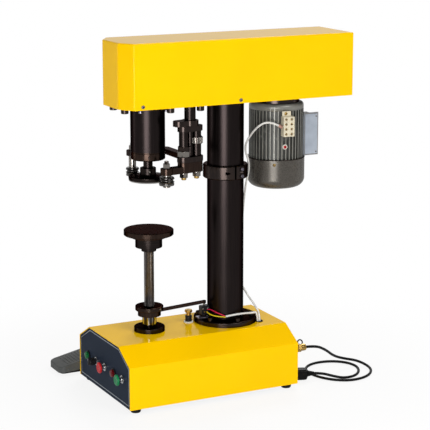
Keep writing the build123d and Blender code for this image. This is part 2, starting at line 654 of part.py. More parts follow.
def pulley(radius, bore, x):
    """Grooved belt pulley on an upright shaft. Its radius is the bottom of the belt in the groove."""
    rim = radius + BELT_DEPTH
    half = BELT_WIDTH / 2 + BELT_GAP
    wheel = cylinder(rim, pulley_low, pulley_low + PULLEY_WIDTH, x)
    groove = ring(rim + 1, radius - BELT_GAP, pulley_mid - half, pulley_mid + half, x)
    return wheel - groove - cylinder(bore + SEAT_GAP, pulley_low - 1, pulley_low + PULLEY_WIDTH + 1, x)


def belt_loop(offset):
    """Plan of the belt's path around both pulleys, grown by an offset."""
    big = Pos(SPINDLE_X, 0) * CenterArc((0, 0), SPINDLE_PULLEY_RADIUS + offset, 0, 360)
    small = Pos(MOTOR_X, 0) * CenterArc((0, 0), MOTOR_PULLEY_RADIUS + offset, 0, 360)
    return make_hull([big, small])


def build_belt():
    """Drive belt between the motor's pulley and the spindle's."""
    loop = extrude(belt_loop(BELT_DEPTH - 1.0) - belt_loop(0), BELT_WIDTH)
    parts["drive_belt"] = Pos(0, 0, pulley_mid - BELT_WIDTH / 2) * loop


def build_motor():
    """Finned motor with its cowl, rotor, fan, pulley, capacitor box and terminal block."""
    section = Circle(MOTOR_CORE_RADIUS)
    depth = MOTOR_RADIUS - MOTOR_CORE_RADIUS
    for i in range(MOTOR_FINS):
        fin = Pos(MOTOR_CORE_RADIUS + depth / 2 - 1, 0) * Rectangle(depth + 2, MOTOR_FIN_WIDTH)
        section += Rot(0, 0, 360 / MOTOR_FINS * i) * fin
    housing = Pos(MOTOR_X, 0, motor_low) * extrude(section, MOTOR_BODY_LENGTH)
    bell = cylinder(MOTOR_RADIUS, motor_top, motor_top + MOTOR_BELL, MOTOR_X)
    housing += fillet(bell.edges().group_by(Axis.Z)[-1], MOTOR_BELL_ROUNDING)
    housing += cylinder(MOTOR_NECK_RADIUS, motor_top, head_bottom, MOTOR_X)
    housing -= cylinder(ROTOR_RADIUS + PASS, motor_low + 12.0, motor_top - 8.0, MOTOR_X)
    housing -= cylinder(MOTOR_SHAFT_RADIUS + RUNNING_FIT, motor_low - 1, head_bottom + 1, MOTOR_X)
    parts["motor_housing"] = housing

    cowl = cylinder(COWL_RADIUS, cowl_low, motor_low + COWL_LAP, MOTOR_X)
    cowl = fillet(cowl.edges().group_by(Axis.Z)[0], COWL_ROUNDING)
    hollow = cylinder(COWL_RADIUS - COWL_WALL, cowl_low + COWL_WALL, motor_low - COWL_LAP, MOTOR_X)
    hollow = fillet(hollow.edges().group_by(Axis.Z)[0], COWL_ROUNDING - COWL_WALL)
    hollow += cylinder(MOTOR_RADIUS + SEAT_GAP, motor_low - COWL_LAP - 1, motor_low + COWL_LAP + 1, MOTOR_X)
    cowl -= hollow
    for i in range(12):
        turn = Pos(MOTOR_X, 0, cowl_low) * Rot(0, 0, 30 * i)
        cowl -= turn * Pos(26, 0, 0) * Box(22, 5, 8)
    parts["motor_cowl"] = cowl

    tail = cowl_low + FAN_CLEAR
    fan_top = tail + FAN_HEIGHT
    rotor = cylinder(MOTOR_SHAFT_RADIUS, tail, pulley_low + PULLEY_WIDTH + 4, MOTOR_X)
    parts["motor_rotor"] = rotor + cylinder(ROTOR_RADIUS, motor_low + 16.0, motor_top - 12.0, MOTOR_X)
    hub = ring(MOTOR_SHAFT_RADIUS + 6, MOTOR_SHAFT_RADIUS + SEAT_GAP, tail, fan_top, MOTOR_X)
    disc = ring(FAN_RADIUS, MOTOR_SHAFT_RADIUS + SEAT_GAP, fan_top - FAN_DISC, fan_top, MOTOR_X)
    fan = hub + disc
    for i in range(8):
        blade = Pos(MOTOR_X, 0, tail + 1.5 + FAN_BLADE_HEIGHT / 2) * Rot(0, 0, 45 * i)
        reach = FAN_RADIUS - MOTOR_SHAFT_RADIUS - 5
        fan += blade * Pos(MOTOR_SHAFT_RADIUS + 5 + reach / 2, 0, 0) * Box(reach, FAN_BLADE, FAN_BLADE_HEIGHT)
    parts["motor_fan"] = fan
    parts["motor_pulley"] = pulley(MOTOR_PULLEY_RADIUS, MOTOR_SHAFT_RADIUS, MOTOR_X)

    width, deep, tall = CAPACITOR_BOX
    seat = MOTOR_RADIUS + SEAT_GAP
    x0, x1 = MOTOR_X + seat - CAPACITOR_BOX_LAP, MOTOR_X + seat + width
    top = head_bottom - CAPACITOR_BOX_DROP
    box = block(x0, x1, -deep / 2, deep / 2, top - tall, top)
    side = deep / 2 - SHEET
    box -= block(x0 - 1, x1 - SHEET, -side, side, top - tall + SHEET, top - SHEET)
    parts["capacitor_box"] = box - cylinder(seat, top - tall - 1, top + 1, MOTOR_X)

    wide, thick, high = TERMINAL_BLOCK
    front = -MOTOR_RADIUS - SEAT_GAP
    top = head_bottom - TERMINAL_BLOCK_DROP
    strip = block(-wide / 2, wide / 2, front - thick, front, top - high, top)
    for row in range(4):
        z = top - high * (row + 0.5) / 4
        for side in (-1, 1):
            strip -= rod_y(TERMINAL_SCREW_RADIUS, front - thick - 1, front - thick + 5, side * wide / 4, z)
    parts["terminal_block"] = Pos(MOTOR_X, 0, 0) * Rot(0, 0, TERMINAL_BLOCK_TURN) * strip


def roller(radius, place):
    """Seaming roller with a rounded groove around its rim."""
    x, y = place
    wheel = cylinder(radius, roller_low, roller_top, x, y)
    wheel = chamfer(wheel.edges().group_by(Axis.Z)[0] + wheel.edges().group_by(Axis.Z)[-1], 1.2)
    groove = Pos(x, y, roller_mid + 2.0) * Torus(radius + 1.2, 3.2)
    return wheel - groove - cylinder(ROLLER_PIN_RADIUS + RUNNING_FIT, roller_low - 1, roller_top + 1, x, y)


def build_swing():
    """Rocking shaft with its plates, posts, arms, rollers and the geared motor that turns it."""
    pivot = (PIVOT_X, PIVOT_Y)
    gear_low, gear_high = head_deck, head_deck + GEARBOX_HEIGHT
    shaft = cylinder(PIVOT_RADIUS, rocker_mid, head_deck, *pivot)
    parts["rocker_shaft"] = shaft + cylinder(PIVOT_TOP_RADIUS, head_deck, gear_high - 6.0, *pivot)

    ear = (PIVOT_X - 28.0 * arm_direction[0], PIVOT_Y - 28.0 * arm_direction[1])
    upper = bar(pivot, ear, ARM_HUB_RADIUS, rocker_mid, rocker_top)
    upper += cylinder(PIVOT_RADIUS + 6.0, rocker_mid, rocker_top, *pivot)
    upper -= cylinder(PIVOT_RADIUS + SEAT_GAP, rocker_mid - 1, rocker_top + 1, *pivot)
    slit_end = (PIVOT_X - 50.0 * arm_direction[0], PIVOT_Y - 50.0 * arm_direction[1])
    upper -= bar(pivot, slit_end, 1.5, rocker_mid - 1, rocker_top + 1)
    lower = bar(left_post, right_post, ARM_HUB_RADIUS, rocker_low, rocker_mid)
    for x, y in (left_post, right_post):
        lower -= cylinder(POST_RADIUS + SEAT_GAP, rocker_low - 1, rocker_mid + 1, x, y)
    parts["rocker_plates"] = group([upper, lower])

    posts = []
    thread = POST_RADIUS - 4.0
    for x, y in (left_post, right_post):
        post = cylinder(POST_RADIUS, arm_top, rocker_mid, x, y)
        posts.append(post + cylinder(thread, post_low, arm_top, x, y))
    parts["arm_posts"] = group(posts)

    second = bar(left_post, right_post, ARM_HUB_RADIUS, arm_low, arm_top)
    second += bar(SECOND_ROLLER, pivot, ARM_HALF_WIDTH, arm_low, arm_low + SECOND_ARM_TIP)
    second += cylinder(ARM_HUB_RADIUS, arm_low, arm_low + SECOND_ARM_TIP, *SECOND_ROLLER)
    for x, y in (left_post, right_post):
        second -= cylinder(thread + SEAT_GAP, arm_low - 1, arm_top + 1, x, y)
    second -= cylinder(ROLLER_PIN_RADIUS + SEAT_GAP, arm_low - 1, arm_top + 1, *SECOND_ROLLER)
    parts["second_arm"] = second

    corner = (PIVOT_X - 2.0, FIRST_ROLLER[1] - 2.0)
    first = bar(pivot, corner, ARM_HALF_WIDTH, arm_top, first_arm_top)
    first += bar(corner, FIRST_ROLLER, ARM_HALF_WIDTH, arm_top, first_arm_top)
    first += cylinder(ARM_HUB_RADIUS, arm_top, first_arm_top, *FIRST_ROLLER)
    first += bar(left_post, right_post, ARM_HUB_RADIUS + 1.0, arm_top, first_arm_top)
    for x, y in (left_post, right_post):
        first -= cylinder(POST_RADIUS + SEAT_GAP, arm_top - 1, first_arm_top + 1, x, y)
    first -= cylinder(ROLLER_PIN_RADIUS + SEAT_GAP, arm_top - 1, first_arm_top + 1, *FIRST_ROLLER)
    parts["first_arm"] = first

    pieces = []
    for place, seat, over in ((FIRST_ROLLER, arm_top, first_arm_top),
                              (SECOND_ROLLER, arm_low, arm_low + SECOND_ARM_TIP)):
        x, y = place
        foot = roller_low - CLEAR
        pin = cylinder(ROLLER_PIN_RADIUS, foot - 4.0, over + 16.0, x, y)
        pin += cylinder(ROLLER_PIN_RADIUS + 3.0, foot - 4.0, foot, x, y)
        pin += cylinder(ROLLER_PIN_RADIUS + 3.0, roller_top + CLEAR, seat, x, y)
        pieces.append(pin + hexagon(8.0, over, over + 10.0, x, y))
    for x, y in (left_post, right_post):
        nut = hexagon(9.5, arm_low - 11.0, arm_low, x, y)
        pieces.append(nut - cylinder(thread + SEAT_GAP, arm_low - 12, arm_low + 1, x, y))
    lock = hexagon(POST_RADIUS + 4.0, first_arm_top, first_arm_top + 22.0, *left_post)
    thumb = cylinder(POST_RADIUS + 3.0, rocker_low - 28.0, rocker_low - 12.0, *right_post)
    for nut, (x, y) in ((lock, left_post), (thumb, right_post)):
        pieces.append(nut - cylinder(POST_RADIUS + SEAT_GAP, first_arm_top - 1, rocker_low, x, y))
    parts["arm_fasteners"] = group(pieces)

    parts["first_roller"] = roller(FIRST_ROLLER_RADIUS, FIRST_ROLLER)
    parts["second_roller"] = roller(SECOND_ROLLER_RADIUS, SECOND_ROLLER)

    near = -HEAD_WIDTH / 2 + SHEET + 1.0
    rear = PIVOT_Y + GEARBOX_BEHIND
    gear = block(PIVOT_X - GEARBOX_LEFT, PIVOT_X + GEARBOX_RIGHT, near, rear, gear_low, gear_high)
    place = (PIVOT_X + FEED_MOTOR_OFFSET, (near + rear) / 2)
    gear += cylinder(FEED_MOTOR_RADIUS, gear_high, gear_high + FEED_MOTOR_LENGTH, *place)
    gear -= cylinder(PIVOT_TOP_RADIUS + RUNNING_FIT, gear_low - 1, gear_high - 5.0, *pivot)
    parts["feed_gearmotor"] = gear


def build_lift():
    """Guide, lifting shaft, height screw and turning tray."""
    guide = cylinder(GUIDE_FLANGE_RADIUS, base_top, guide_top, LIFT_X)
    guide = chamfer(guide.edges().group_by(Axis.Z)[-1], 1.2)
    guide += cylinder(GUIDE_TUBE_RADIUS, guide_low, base_top, LIFT_X)
    bore = cylinder(LIFT_SHAFT_RADIUS + RUNNING_FIT, guide_low - 1, guide_top + 1, LIFT_X)
    parts["lift_guide"] = guide - bore

    coil = cylinder(MAGNET_RADIUS, plate_top, magnet_top, LIFT_X)
    coil = fillet(coil.edges().group_by(Axis.Z)[-1], 3.0)
    parts["lift_magnet"] = coil - cylinder(LIFT_SHAFT_RADIUS + CLEAR, shaft_low, magnet_top + 1, LIFT_X)

    bore = SCREW_RADIUS + RUNNING_FIT
    parts["lift_shaft"] = ring(LIFT_SHAFT_RADIUS, bore, shaft_low, collar_top - 4.0, LIFT_X)
    collar = cylinder(LIFT_COLLAR_LOWER_RADIUS, collar_low, collar_step, LIFT_X)
    upper = cylinder(LIFT_COLLAR_RADIUS, collar_step, collar_top, LIFT_X)
    collar += chamfer(upper.edges().group_by(Axis.Z)[0] + upper.edges().group_by(Axis.Z)[-1], 1.0)
    collar -= cylinder(LIFT_SHAFT_RADIUS + SEAT_GAP, collar_low - 1, collar_top - 4.0, LIFT_X)
    parts["lift_collar"] = collar - cylinder(bore, collar_low - 1, collar_top + 1, LIFT_X)

    reach = LIFT_COLLAR_LOWER_RADIUS + SEAT_GAP
    trip_high = trip_low + TRIP_ARM_THICKNESS
    arm = bar(TRIP_ARM_ROOT, TRIP_ARM_END, TRIP_ARM_HALF_WIDTH, trip_low, trip_high)
    arm -= cylinder(reach, trip_low - 1, collar_step, LIFT_X)
    arm -= cylinder(LIFT_COLLAR_RADIUS + SEAT_GAP, collar_step, trip_high + 1, LIFT_X)
    parts["trip_arm"] = arm.solids().sort_by(Axis.X)[-1]

    parts["height_screw"] = cylinder(SCREW_RADIUS, screw_low, hub_low + HUB_HEIGHT - 5.0, LIFT_X)
    hub = cylinder(HUB_RADIUS, hub_low, hub_top, LIFT_X)
    hub += cylinder(HUB_NECK_RADIUS, neck_low, hub_low, LIFT_X)
    hub += cylinder(STUB_RADIUS, hub_top, hub_top + TRAY_BEARING_WIDTH, LIFT_X)
    hub -= cylinder(SCREW_RADIUS + SEAT_GAP, neck_low - 1, hub_low + HUB_HEIGHT - 5.0, LIFT_X)
    parts["tray_hub"] = hub
    bearing_top = hub_top + TRAY_BEARING_WIDTH
    parts["tray_bearing"] = ring(TRAY_BEARING_RADIUS, STUB_RADIUS + SEAT_GAP, hub_top, bearing_top, LIFT_X)
    tray = cylinder(TRAY_RADIUS, tray_disc_low, tray_top, LIFT_X)
    tray = chamfer(tray.edges().group_by(Axis.Z)[0] + tray.edges().group_by(Axis.Z)[-1], 1.0)
    tray += cylinder(TRAY_STEP_RADIUS, tray_low, tray_disc_low, LIFT_X)
    tray -= cylinder(TRAY_BEARING_RADIUS + RUNNING_FIT, tray_low - 1, bearing_top + CLEAR, LIFT_X)
    parts["tray"] = tray


def build_switch():
    """Limit switch under the trip arm, on its bracket."""
    x, y = TRIP_ARM_END
    wide, deep, tall = TRIP_SWITCH
    plunger_top = trip_low - TRIP_GAP
    top = plunger_top - SWITCH_PLUNGER_SHOW
    low = top - tall
    body = block(x - wide / 2, x + wide / 2, y - deep / 2, y + deep / 2, low, top)
    sink = top - 6.0
    body -= cylinder(SWITCH_PLUNGER_RADIUS + RUNNING_FIT, sink - SWITCH_TRAVEL - CLEAR, top + 1, x, y)
    parts["micro_switch"] = body
    parts["switch_plunger"] = cylinder(SWITCH_PLUNGER_RADIUS, sink, plunger_top, x, y)
    back = y + deep / 2
    rear = back + BRACKET_SHEET
    foot = block(x - wide, x + wide / 2, y - deep / 2 - 4, rear, flange_top, flange_top + BRACKET_SHEET)
    upright = block(x - wide / 2, x + wide / 2, back, rear, flange_top, top - 2.0)
    shelf = block(x - wide / 2, x + wide / 2, y - deep / 2, back, low - BRACKET_SHEET, low)
    keep_off = cylinder(COLUMN_RADIUS + CLEAR, flange_top - 1, top, COLUMN_X)
    parts["switch_bracket"] = foot + upright + shelf - keep_off

    x, y = EARTH_POST
    washer_top = base_top + EARTH_WASHER
    body_top = washer_top + EARTH_BODY
    neck_top = body_top + EARTH_NECK
    base = cylinder(EARTH_WASHER_RADIUS, base_top, washer_top, x, y)
    base += cylinder(EARTH_BODY_RADIUS, washer_top, body_top, x, y)
    base -= cylinder(EARTH_SCREW_RADIUS + SEAT_GAP, base_top - 1, body_top + 1, x, y)
    parts["earth_post_base"] = base
    screw = cylinder(EARTH_SCREW_RADIUS, base_top - EARTH_SCREW_DEPTH, body_top, x, y)
    screw += cylinder(EARTH_NECK_RADIUS, body_top, neck_top, x, y)
    parts["earth_post_screw"] = screw + cylinder(EARTH_HEAD_RADIUS, neck_top, neck_top + EARTH_HEAD, x, y)


def build_electrics():
    """Contactor and timer in the base, the mains gland, plug, cord and the cables that the frame carries."""
    end = BASE_LENGTH / 2
    x, y = CONTACTOR_CORNER
    wide, deep, tall = CONTACTOR
    slot, sunk = CONTACTOR_SLOT
    contactor = block(x, x + wide, y, y + deep, plate_top, plate_top + tall)
    near = y + (deep - slot) / 2
    contactor -= block(x - 1, x + wide + 1, near, near + slot, plate_top + tall - sunk, plate_top + tall + 1)
    x, y = TIMER_CORNER
    wide, deep, tall = TIMER
    timer = block(x, x + wide, y, y + deep, plate_top, plate_top + tall)
    parts["control_gear"] = group([contactor, timer])

    mouth = end + GLAND_LENGTH
    gland = rod_x(GLAND_RADIUS, end, mouth, gland_y, gland_z)
    gland = fillet(gland.edges().group_by(Axis.X)[-1], 2.0)
    nut = extrude(RegularPolygon(GLAND_RADIUS + GLAND_NUT_STEP, 6), GLAND_NUT_WIDTH)
    gland += Pos(end + GLAND_NUT_START, gland_y, gland_z) * Rot(0, 90, 0) * nut
    gland += rod_x(GLAND_RADIUS - 1.5, end - 8.0, end, gland_y, gland_z)
    parts["cable_gland"] = gland - rod_x(CORD_DIAMETER / 2 + SEAT_GAP, end - 9, mouth + 1, gland_y, gland_z)

    route = [(end + 12, gland_y, gland_z), (end + CORD_STRAIGHT, gland_y, gland_z)]
    route += [(end + x, y, z) for x, y, z in CORD_FALL]
    route += [(end + x, y, CORD_LIE) for x, y in CORD_COIL]
    route += [(end + x, y, z) for x, y, z in CORD_RISE]
    parts["mains_cord"] = rounded_tube(route, CORD_DIAMETER)
    parts["mains_plug"] = build_plug(route[-1], route[-2])

    entry = CABLE_HOLE[0] + CABLE_DIAMETER / 2 + CLEAR
    low = base_top - CABLE_DEPTH
    lead = [(x, y, head_bottom - drop) for x, y, drop in LEAD_UPPER]
    lead += [(x, y, flange_top + rise) for x, y, rise in LEAD_LOWER]
    lead += [(entry, CABLE_HOLE[1], flange_top + 3), (entry, CABLE_HOLE[1], low)]
    entry = CABLE_HOLE[0] - CABLE_DIAMETER / 2 - CLEAR
    sheath = [(x, y, flange_top + rise) for x, y, rise in SHEATH_ROUTE]
    sheath += [(entry, CABLE_HOLE[1], sheath[-1][2]), (entry, CABLE_HOLE[1], low)]
    switch_front = TRIP_ARM_END[1] - TRIP_SWITCH[1] / 2 - 2 * CLEAR
    wires = []
    for (x, rise), run in ((RED_WIRE_START, RED_WIRE), (YELLOW_WIRE_START, YELLOW_WIRE)):
        wires.append([(x, switch_front, flange_top + rise)] + [(a, b, flange_top + c) for a, b, c in run])
    tubes = [rounded_tube(lead, CABLE_DIAMETER), rounded_tube(sheath, CABLE_DIAMETER)]
    tubes += [rounded_tube(wire, WIRE_DIAMETER) for wire in wires]
    parts["wiring"] = group(tubes)


def build_plug(entry, before):
    """Moulded two-pin plug lying on the bench at the cord's end."""
    turn = degrees(atan2(entry[1] - before[1], entry[0] - before[0]))
    face = PLUG_RELIEF + PLUG_LENGTH
    body = Pos(PLUG_RELIEF + PLUG_LENGTH / 2, 0, 0) * Box(PLUG_LENGTH, PLUG_WIDTH, 2 * entry[2])
    body = fillet(body.edges().filter_by(Axis.X), PLUG_ROUNDING)
    relief = Pos((PLUG_RELIEF + 1) / 2, 0, 0) * Rot(0, 90, 0) * Cone(*PLUG_RELIEF_RADII, PLUG_RELIEF + 1)
    plug = body + relief
    for side in (-1, 1):
        plug += rod_x(PLUG_PIN_RADIUS, face - 1, face + PLUG_PIN_LENGTH, side * PLUG_PIN_SPACING / 2, 0)
    plug -= rod_x(CORD_DIAMETER / 2 + SEAT_GAP, -1.0, 12.0, 0, 0)
    return Pos(*entry) * Rot(0, 0, turn) * plug


def build_pedal():
    """Foot switch: a base and a sprung cover that turns on two moulded pins."""
    x0, y0 = PEDAL_CORNER
    x1, y1 = x0 + PEDAL_LENGTH, y0 + PEDAL_WIDTH
    wall = PEDAL_WALL
    rise = (PEDAL_HEEL - PEDAL_TOE) / PEDAL_LENGTH
    drop = tan(radians(PEDAL_TRAVEL)) * 1.1

    def wedge(inset, toe, heel):
        """Closed wedge with rounded toe corners under a sloping top."""
        corner = PEDAL_ROUNDING - inset
        plan = RectangleRounded(PEDAL_LENGTH - 2 * inset, PEDAL_WIDTH - 2 * inset, corner)
        plan = Pos((x0 + x1) / 2, (y0 + y1) / 2) * plan
        under = Polyline((x0, -20), (x1, -20), (x1, heel), (x0, toe), close=True)
        slope = Pos(0, y1, 0) * extrude(Plane.XZ * make_face(under), PEDAL_WIDTH)
        return extrude(plan, 2 * PEDAL_HEEL) & slope

    cover = wedge(0, PEDAL_TOE, PEDAL_HEEL) - wedge(wall, PEDAL_TOE - wall, PEDAL_HEEL - wall)
    skirt = Polyline((x0 - 1, -1), (x1 + 1, -1), (x1 + 1, 2.0 + drop * PEDAL_LENGTH), (x0 - 1, 2.0),
                     close=True)
    cover -= Pos(0, y1 + 1, 0) * extrude(Plane.XZ * make_face(skirt), PEDAL_WIDTH + 2)
    ear = wall + 2.0
    for side, inner in ((y0 + wall - 1, y0 + wall + 8), (y1 - wall - 8, y1 - wall + 1)):
        cover += rod_y(PEDAL_PIN_RADIUS, side, inner, pedal_pin_x, pedal_pin_z)
    parts["pedal_cover"] = cover

    plan = RectangleRounded(PEDAL_LENGTH - 2 * ear, PEDAL_WIDTH - 2 * ear, 8.0)
    plan = Pos((x0 + x1) / 2, (y0 + y1) / 2) * plan
    base = extrude(plan, PEDAL_BASE_HEIGHT)
    for low, high in ((y0, y0 + wall + 8 + CLEAR), (y1 - wall - 8 - CLEAR, y1)):
        base -= rod_y(PEDAL_PIN_RADIUS + RUNNING_FIT, low, high, pedal_pin_x, pedal_pin_z)
    parts["pedal_base"] = base


def export_all():
    """Write one file per node, shifted to the middle of the footprint."""
    os.makedirs("parts", exist_ok=True)
    for name, drawn in parts.items():
        shape = drawn.moved(Location((-middle_x, -middle_y, 0)))
        shape.label = name
        export_step(shape, f"parts/{name}.step")


build_base()
build_springs(build_panel())
build_column()
build_screws()
build_head()
build_spindle()
build_belt()
build_motor()
build_swing()
build_lift()
build_switch()
build_electrics()
build_pedal()
export_all()
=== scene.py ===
import logging
import math
from dataclasses import dataclass
from enum import Enum
from typing import Any, Callable, Iterable, Sequence, Union

import bmesh
import bpy
from mathutils import Matrix, Vector


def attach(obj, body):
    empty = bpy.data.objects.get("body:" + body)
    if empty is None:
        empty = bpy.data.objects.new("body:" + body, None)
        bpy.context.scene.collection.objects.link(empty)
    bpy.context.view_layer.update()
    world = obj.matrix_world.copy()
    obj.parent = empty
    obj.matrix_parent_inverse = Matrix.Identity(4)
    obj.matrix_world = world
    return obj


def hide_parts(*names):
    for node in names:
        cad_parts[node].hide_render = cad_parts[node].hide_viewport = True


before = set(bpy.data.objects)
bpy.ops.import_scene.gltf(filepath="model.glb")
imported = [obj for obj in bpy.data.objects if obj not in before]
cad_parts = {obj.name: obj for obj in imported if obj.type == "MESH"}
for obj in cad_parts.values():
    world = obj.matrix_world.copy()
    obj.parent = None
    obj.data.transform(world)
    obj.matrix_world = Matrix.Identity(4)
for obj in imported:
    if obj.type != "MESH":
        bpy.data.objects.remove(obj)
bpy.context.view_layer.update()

LOG = logging.getLogger("can_seamer")
MM = 0.001
# Sizes here are in millimetres from the bench under the base's middle.
# ORIGIN is the frame's origin in those millimetres.
ORIGIN = Vector((67.5, 56.0, 0.0))
TO_FRAME = Matrix.Scale(MM, 4) @ Matrix.Translation(-ORIGIN)
# Centres of the feet in plan.
FOOT_PLACES = [(x, y) for x in (-180.0, 180.0) for y in (-121.0, 121.0)]
Triple = tuple[float, float, float]
Operand = Union["Number", float]


class Number:
    """A shader value that Python's operators extend with Math nodes."""

    def __init__(self, graph: "Graph", socket: bpy.types.NodeSocket) -> None:
        """Hold one output socket of a node tree."""
        self.graph = graph
        self.socket = socket

    def _math(self, operation: str, *operands: Operand) -> "Number":
        """Add a Math node for these operands."""
        node = self.graph.node("ShaderNodeMath", {"operation": operation}, dict(enumerate(operands)))
        return Number(self.graph, node.outputs[0])

    def __add__(self, other: Operand) -> "Number":
        """Sum of two values."""
        return self._math("ADD", self, other)

    __radd__ = __add__

    def __sub__(self, other: Operand) -> "Number":
        """Difference of two values."""
        return self._math("SUBTRACT", self, other)

    def __rsub__(self, other: Operand) -> "Number":
        """Difference from a plain number."""
        return self._math("SUBTRACT", other, self)

    def __mul__(self, other: Operand) -> "Number":
        """Product of two values."""
        return self._math("MULTIPLY", self, other)

    __rmul__ = __mul__

    def largest(self, other: Operand) -> "Number":
        """The larger of two values."""
        return self._math("MAXIMUM", self, other)

    def ramp(self, low: float, high: float) -> "Number":
        """Smooth step between two values.

        Args:
            low: Where it is 0.
            high: Where it is 1.

        Returns:
            The step.
        """
        settings = {"interpolation_type": "SMOOTHSTEP"}
        node = self.graph.node("ShaderNodeMapRange", settings, {0: self, 1: low, 2: high})
        return Number(self.graph, node.outputs[0])


class Graph:
    """A node tree, with a single way to add any node."""

    def __init__(self, owner: bpy.types.Material | bpy.types.World) -> None:
        """Switch on the nodes of a material or a world."""
        owner.use_nodes = True
        self.tree = owner.node_tree

    def node(self, kind: str, settings: dict[str, Any] | None = None,
             inputs: dict[int | str, Any] | None = None) -> bpy.types.Node:
        """Add a node of any kind.

        Args:
            kind: The node's type.
            settings: Properties of the node, set first.
            inputs: Values or links for its sockets, by name or number.

        Returns:
            The new node.
        """
        node = self.tree.nodes.new(kind)
        for key, value in (settings or {}).items():
            setattr(node, key, value)
        for key, value in (inputs or {}).items():
            self.feed(node.inputs[key], value)
        return node

    def feed(self, socket: bpy.types.NodeSocket, value: Any) -> None:
        """Set a socket to a plain value, or link another socket to it.

        Args:
            socket: The input socket.
            value: A number, a colour or a vector, or what to link.
        """
        source = value.socket if isinstance(value, Number) else value
        if isinstance(source, bpy.types.NodeSocket):
            self.tree.links.new(source, socket)
        elif socket.type == "RGBA":
            socket.default_value = (*source, 1.0)
        else:
            socket.default_value = source

    def facing(self, side: Triple) -> Number:
        """How far a direction of the world turns to a side.

        Args:
            side: The side, as a direction.

        Returns:
            A value from -1 to 1.
        """
        direction = self.node("ShaderNodeTexCoord").outputs["Generated"]
        node = self.node("ShaderNodeVectorMath", {"operation": "DOT_PRODUCT"}, {0: direction, 1: side})
        return Number(self, node.outputs["Value"])

    def ray(self, kind: str) -> Number:
        """1 for rays of one kind and 0 for the others."""
        return Number(self, self.node("ShaderNodeLightPath").outputs[f"Is {kind} Ray"])


class Shader(Graph):
    """One material's nodes."""

    def __init__(self, name: str) -> None:
        """Start a material whose tree holds only its surface shader.

        Args:
            name: The material's name.
        """
        self.material = bpy.data.materials.new(name)
        super().__init__(self.material)
        self.surface = self.tree.nodes["Principled BSDF"]
        self.output = self.tree.nodes["Material Output"]

    def set(self, **sockets: Any) -> None:
        """Set sockets of the surface shader by their names in lower case, with underscores for spaces."""
        for key, value in sockets.items():
            self.feed(self.surface.inputs[key.replace("_", " ").title().replace("Ior", "IOR")], value)

    def place(self) -> bpy.types.NodeSocket:
        """Position in the machine's frame, in metres."""
        return self.node("ShaderNodeTexCoord").outputs["Object"]

    def noise(self, scale: float, detail: float = 3.0, stretch: Triple = (1.0, 1.0, 1.0)) -> Number:
        """Noise over the position.

        Args:
            scale: Cells per metre before the stretch.
            detail: Octaves of finer noise.
            stretch: Factor on each axis.

        Returns:
            A value around one half.
        """
        spread = self.node("ShaderNodeVectorMath", {"operation": "MULTIPLY"}, {0: self.place(), 1: stretch})
        inputs = {"Vector": spread.outputs[0], "Scale": scale, "Detail": detail}
        return Number(self, self.node("ShaderNodeTexNoise", None, inputs).outputs[0])

    def mix(self, factor: Operand, first: Any, second: Any) -> bpy.types.NodeSocket:
        """Colour between two colours."""
        node = self.node("ShaderNodeMix", {"data_type": "RGBA"}, {0: factor, 6: first, 7: second})
        return node.outputs[2]

    def bump(self, height: Number, strength: float, depth: float) -> None:
        """Raise the surface by a value, with a strength and a depth in metres."""
        node = self.node("ShaderNodeBump", None, {"Height": height, "Strength": strength, "Distance": depth})
        self.feed(self.surface.inputs["Normal"], node.outputs[0])


@dataclass(frozen=True)
class Enamel:
    """Sprayed gloss paint on sheet metal, with a fine orange-peel skin."""

    colour: Triple
    shade: Triple
    roughness: float
    gloss: float

    def paint(self, s: Shader) -> None:
        """Build the finish.

        Args:
            s: The material's shader.
        """
        broad = s.noise(7.0, 2.0)
        peel = s.noise(520.0, 2.0)
        specks = s.noise(1900.0, 1.0).ramp(0.70, 0.78)
        film = s.mix(broad.ramp(0.3, 0.75), self.colour, self.shade)
        s.set(base_color=s.mix(specks * 0.10, film, self.shade))
        s.set(roughness=self.roughness + 0.07 * broad + 0.05 * peel, specular_ior_level=self.gloss)
        s.bump(peel, 0.06, 0.0003)


@dataclass(frozen=True)
class Oxide:
    """Blackened steel, turned or ground, with a brown cast where the oil has dried."""

    colour: Triple
    stain: Triple
    roughness: float
    grain: Triple
    patchy: float = 0.35

    def paint(self, s: Shader) -> None:
        """Build the finish.

        Args:
            s: The material's shader.
        """
        lines = s.noise(1.0, 2.0, self.grain)
        patches = s.noise(30.0, 3.0)
        tone = (patches * self.patchy + lines * (1.0 - self.patchy)).ramp(0.34, 0.70)
        s.set(base_color=s.mix(tone, self.colour, self.stain), metallic=1.0, specular_tint=(0.30, 0.27, 0.27))
        s.set(roughness=self.roughness + 0.10 * lines + 0.10 * self.patchy * patches)
        s.bump(lines, 0.06, 0.0001)


@dataclass(frozen=True)
class Bright:
    """Bare machined metal with tool marks and faint oil stains."""

    colour: Triple
    stain: Triple
    roughness: float
    grain: Triple

    def paint(self, s: Shader) -> None:
        """Build the finish.

        Args:
            s: The material's shader.
        """
        marks = s.noise(1.0, 2.0, self.grain)
        oil = s.noise(55.0, 4.0)
        s.set(base_color=s.mix(oil.ramp(0.5, 0.74), self.colour, self.stain), metallic=1.0)
        s.set(roughness=self.roughness + 0.14 * marks + 0.08 * oil.ramp(0.45, 0.7))
        s.bump(marks, 0.06, 0.0001)


@dataclass(frozen=True)
class BarWithPaintedHighlights:
    """Dark polished bar with bright lines along it, painted highlights that stand for reflections of strip
    lamps.
    """

    colour: Triple
    painted_highlight: Triple
    roughness: float
    spacing: float

    def paint(self, s: Shader) -> None:
        """Build the finish.

        Args:
            s: The material's shader.
        """
        # Painted highlights: noise stretched along the bar mixes bright streaks into the base colour.
        lines = s.noise(self.spacing, 1.0, (1.0, 1.0, 0.01))
        oil = s.noise(90.0, 3.0)
        s.set(base_color=s.mix(lines.ramp(0.46, 0.62), self.colour, self.painted_highlight), metallic=1.0)
        s.set(roughness=self.roughness + 0.10 * oil)
        s.bump(oil, 0.05, 0.0001)


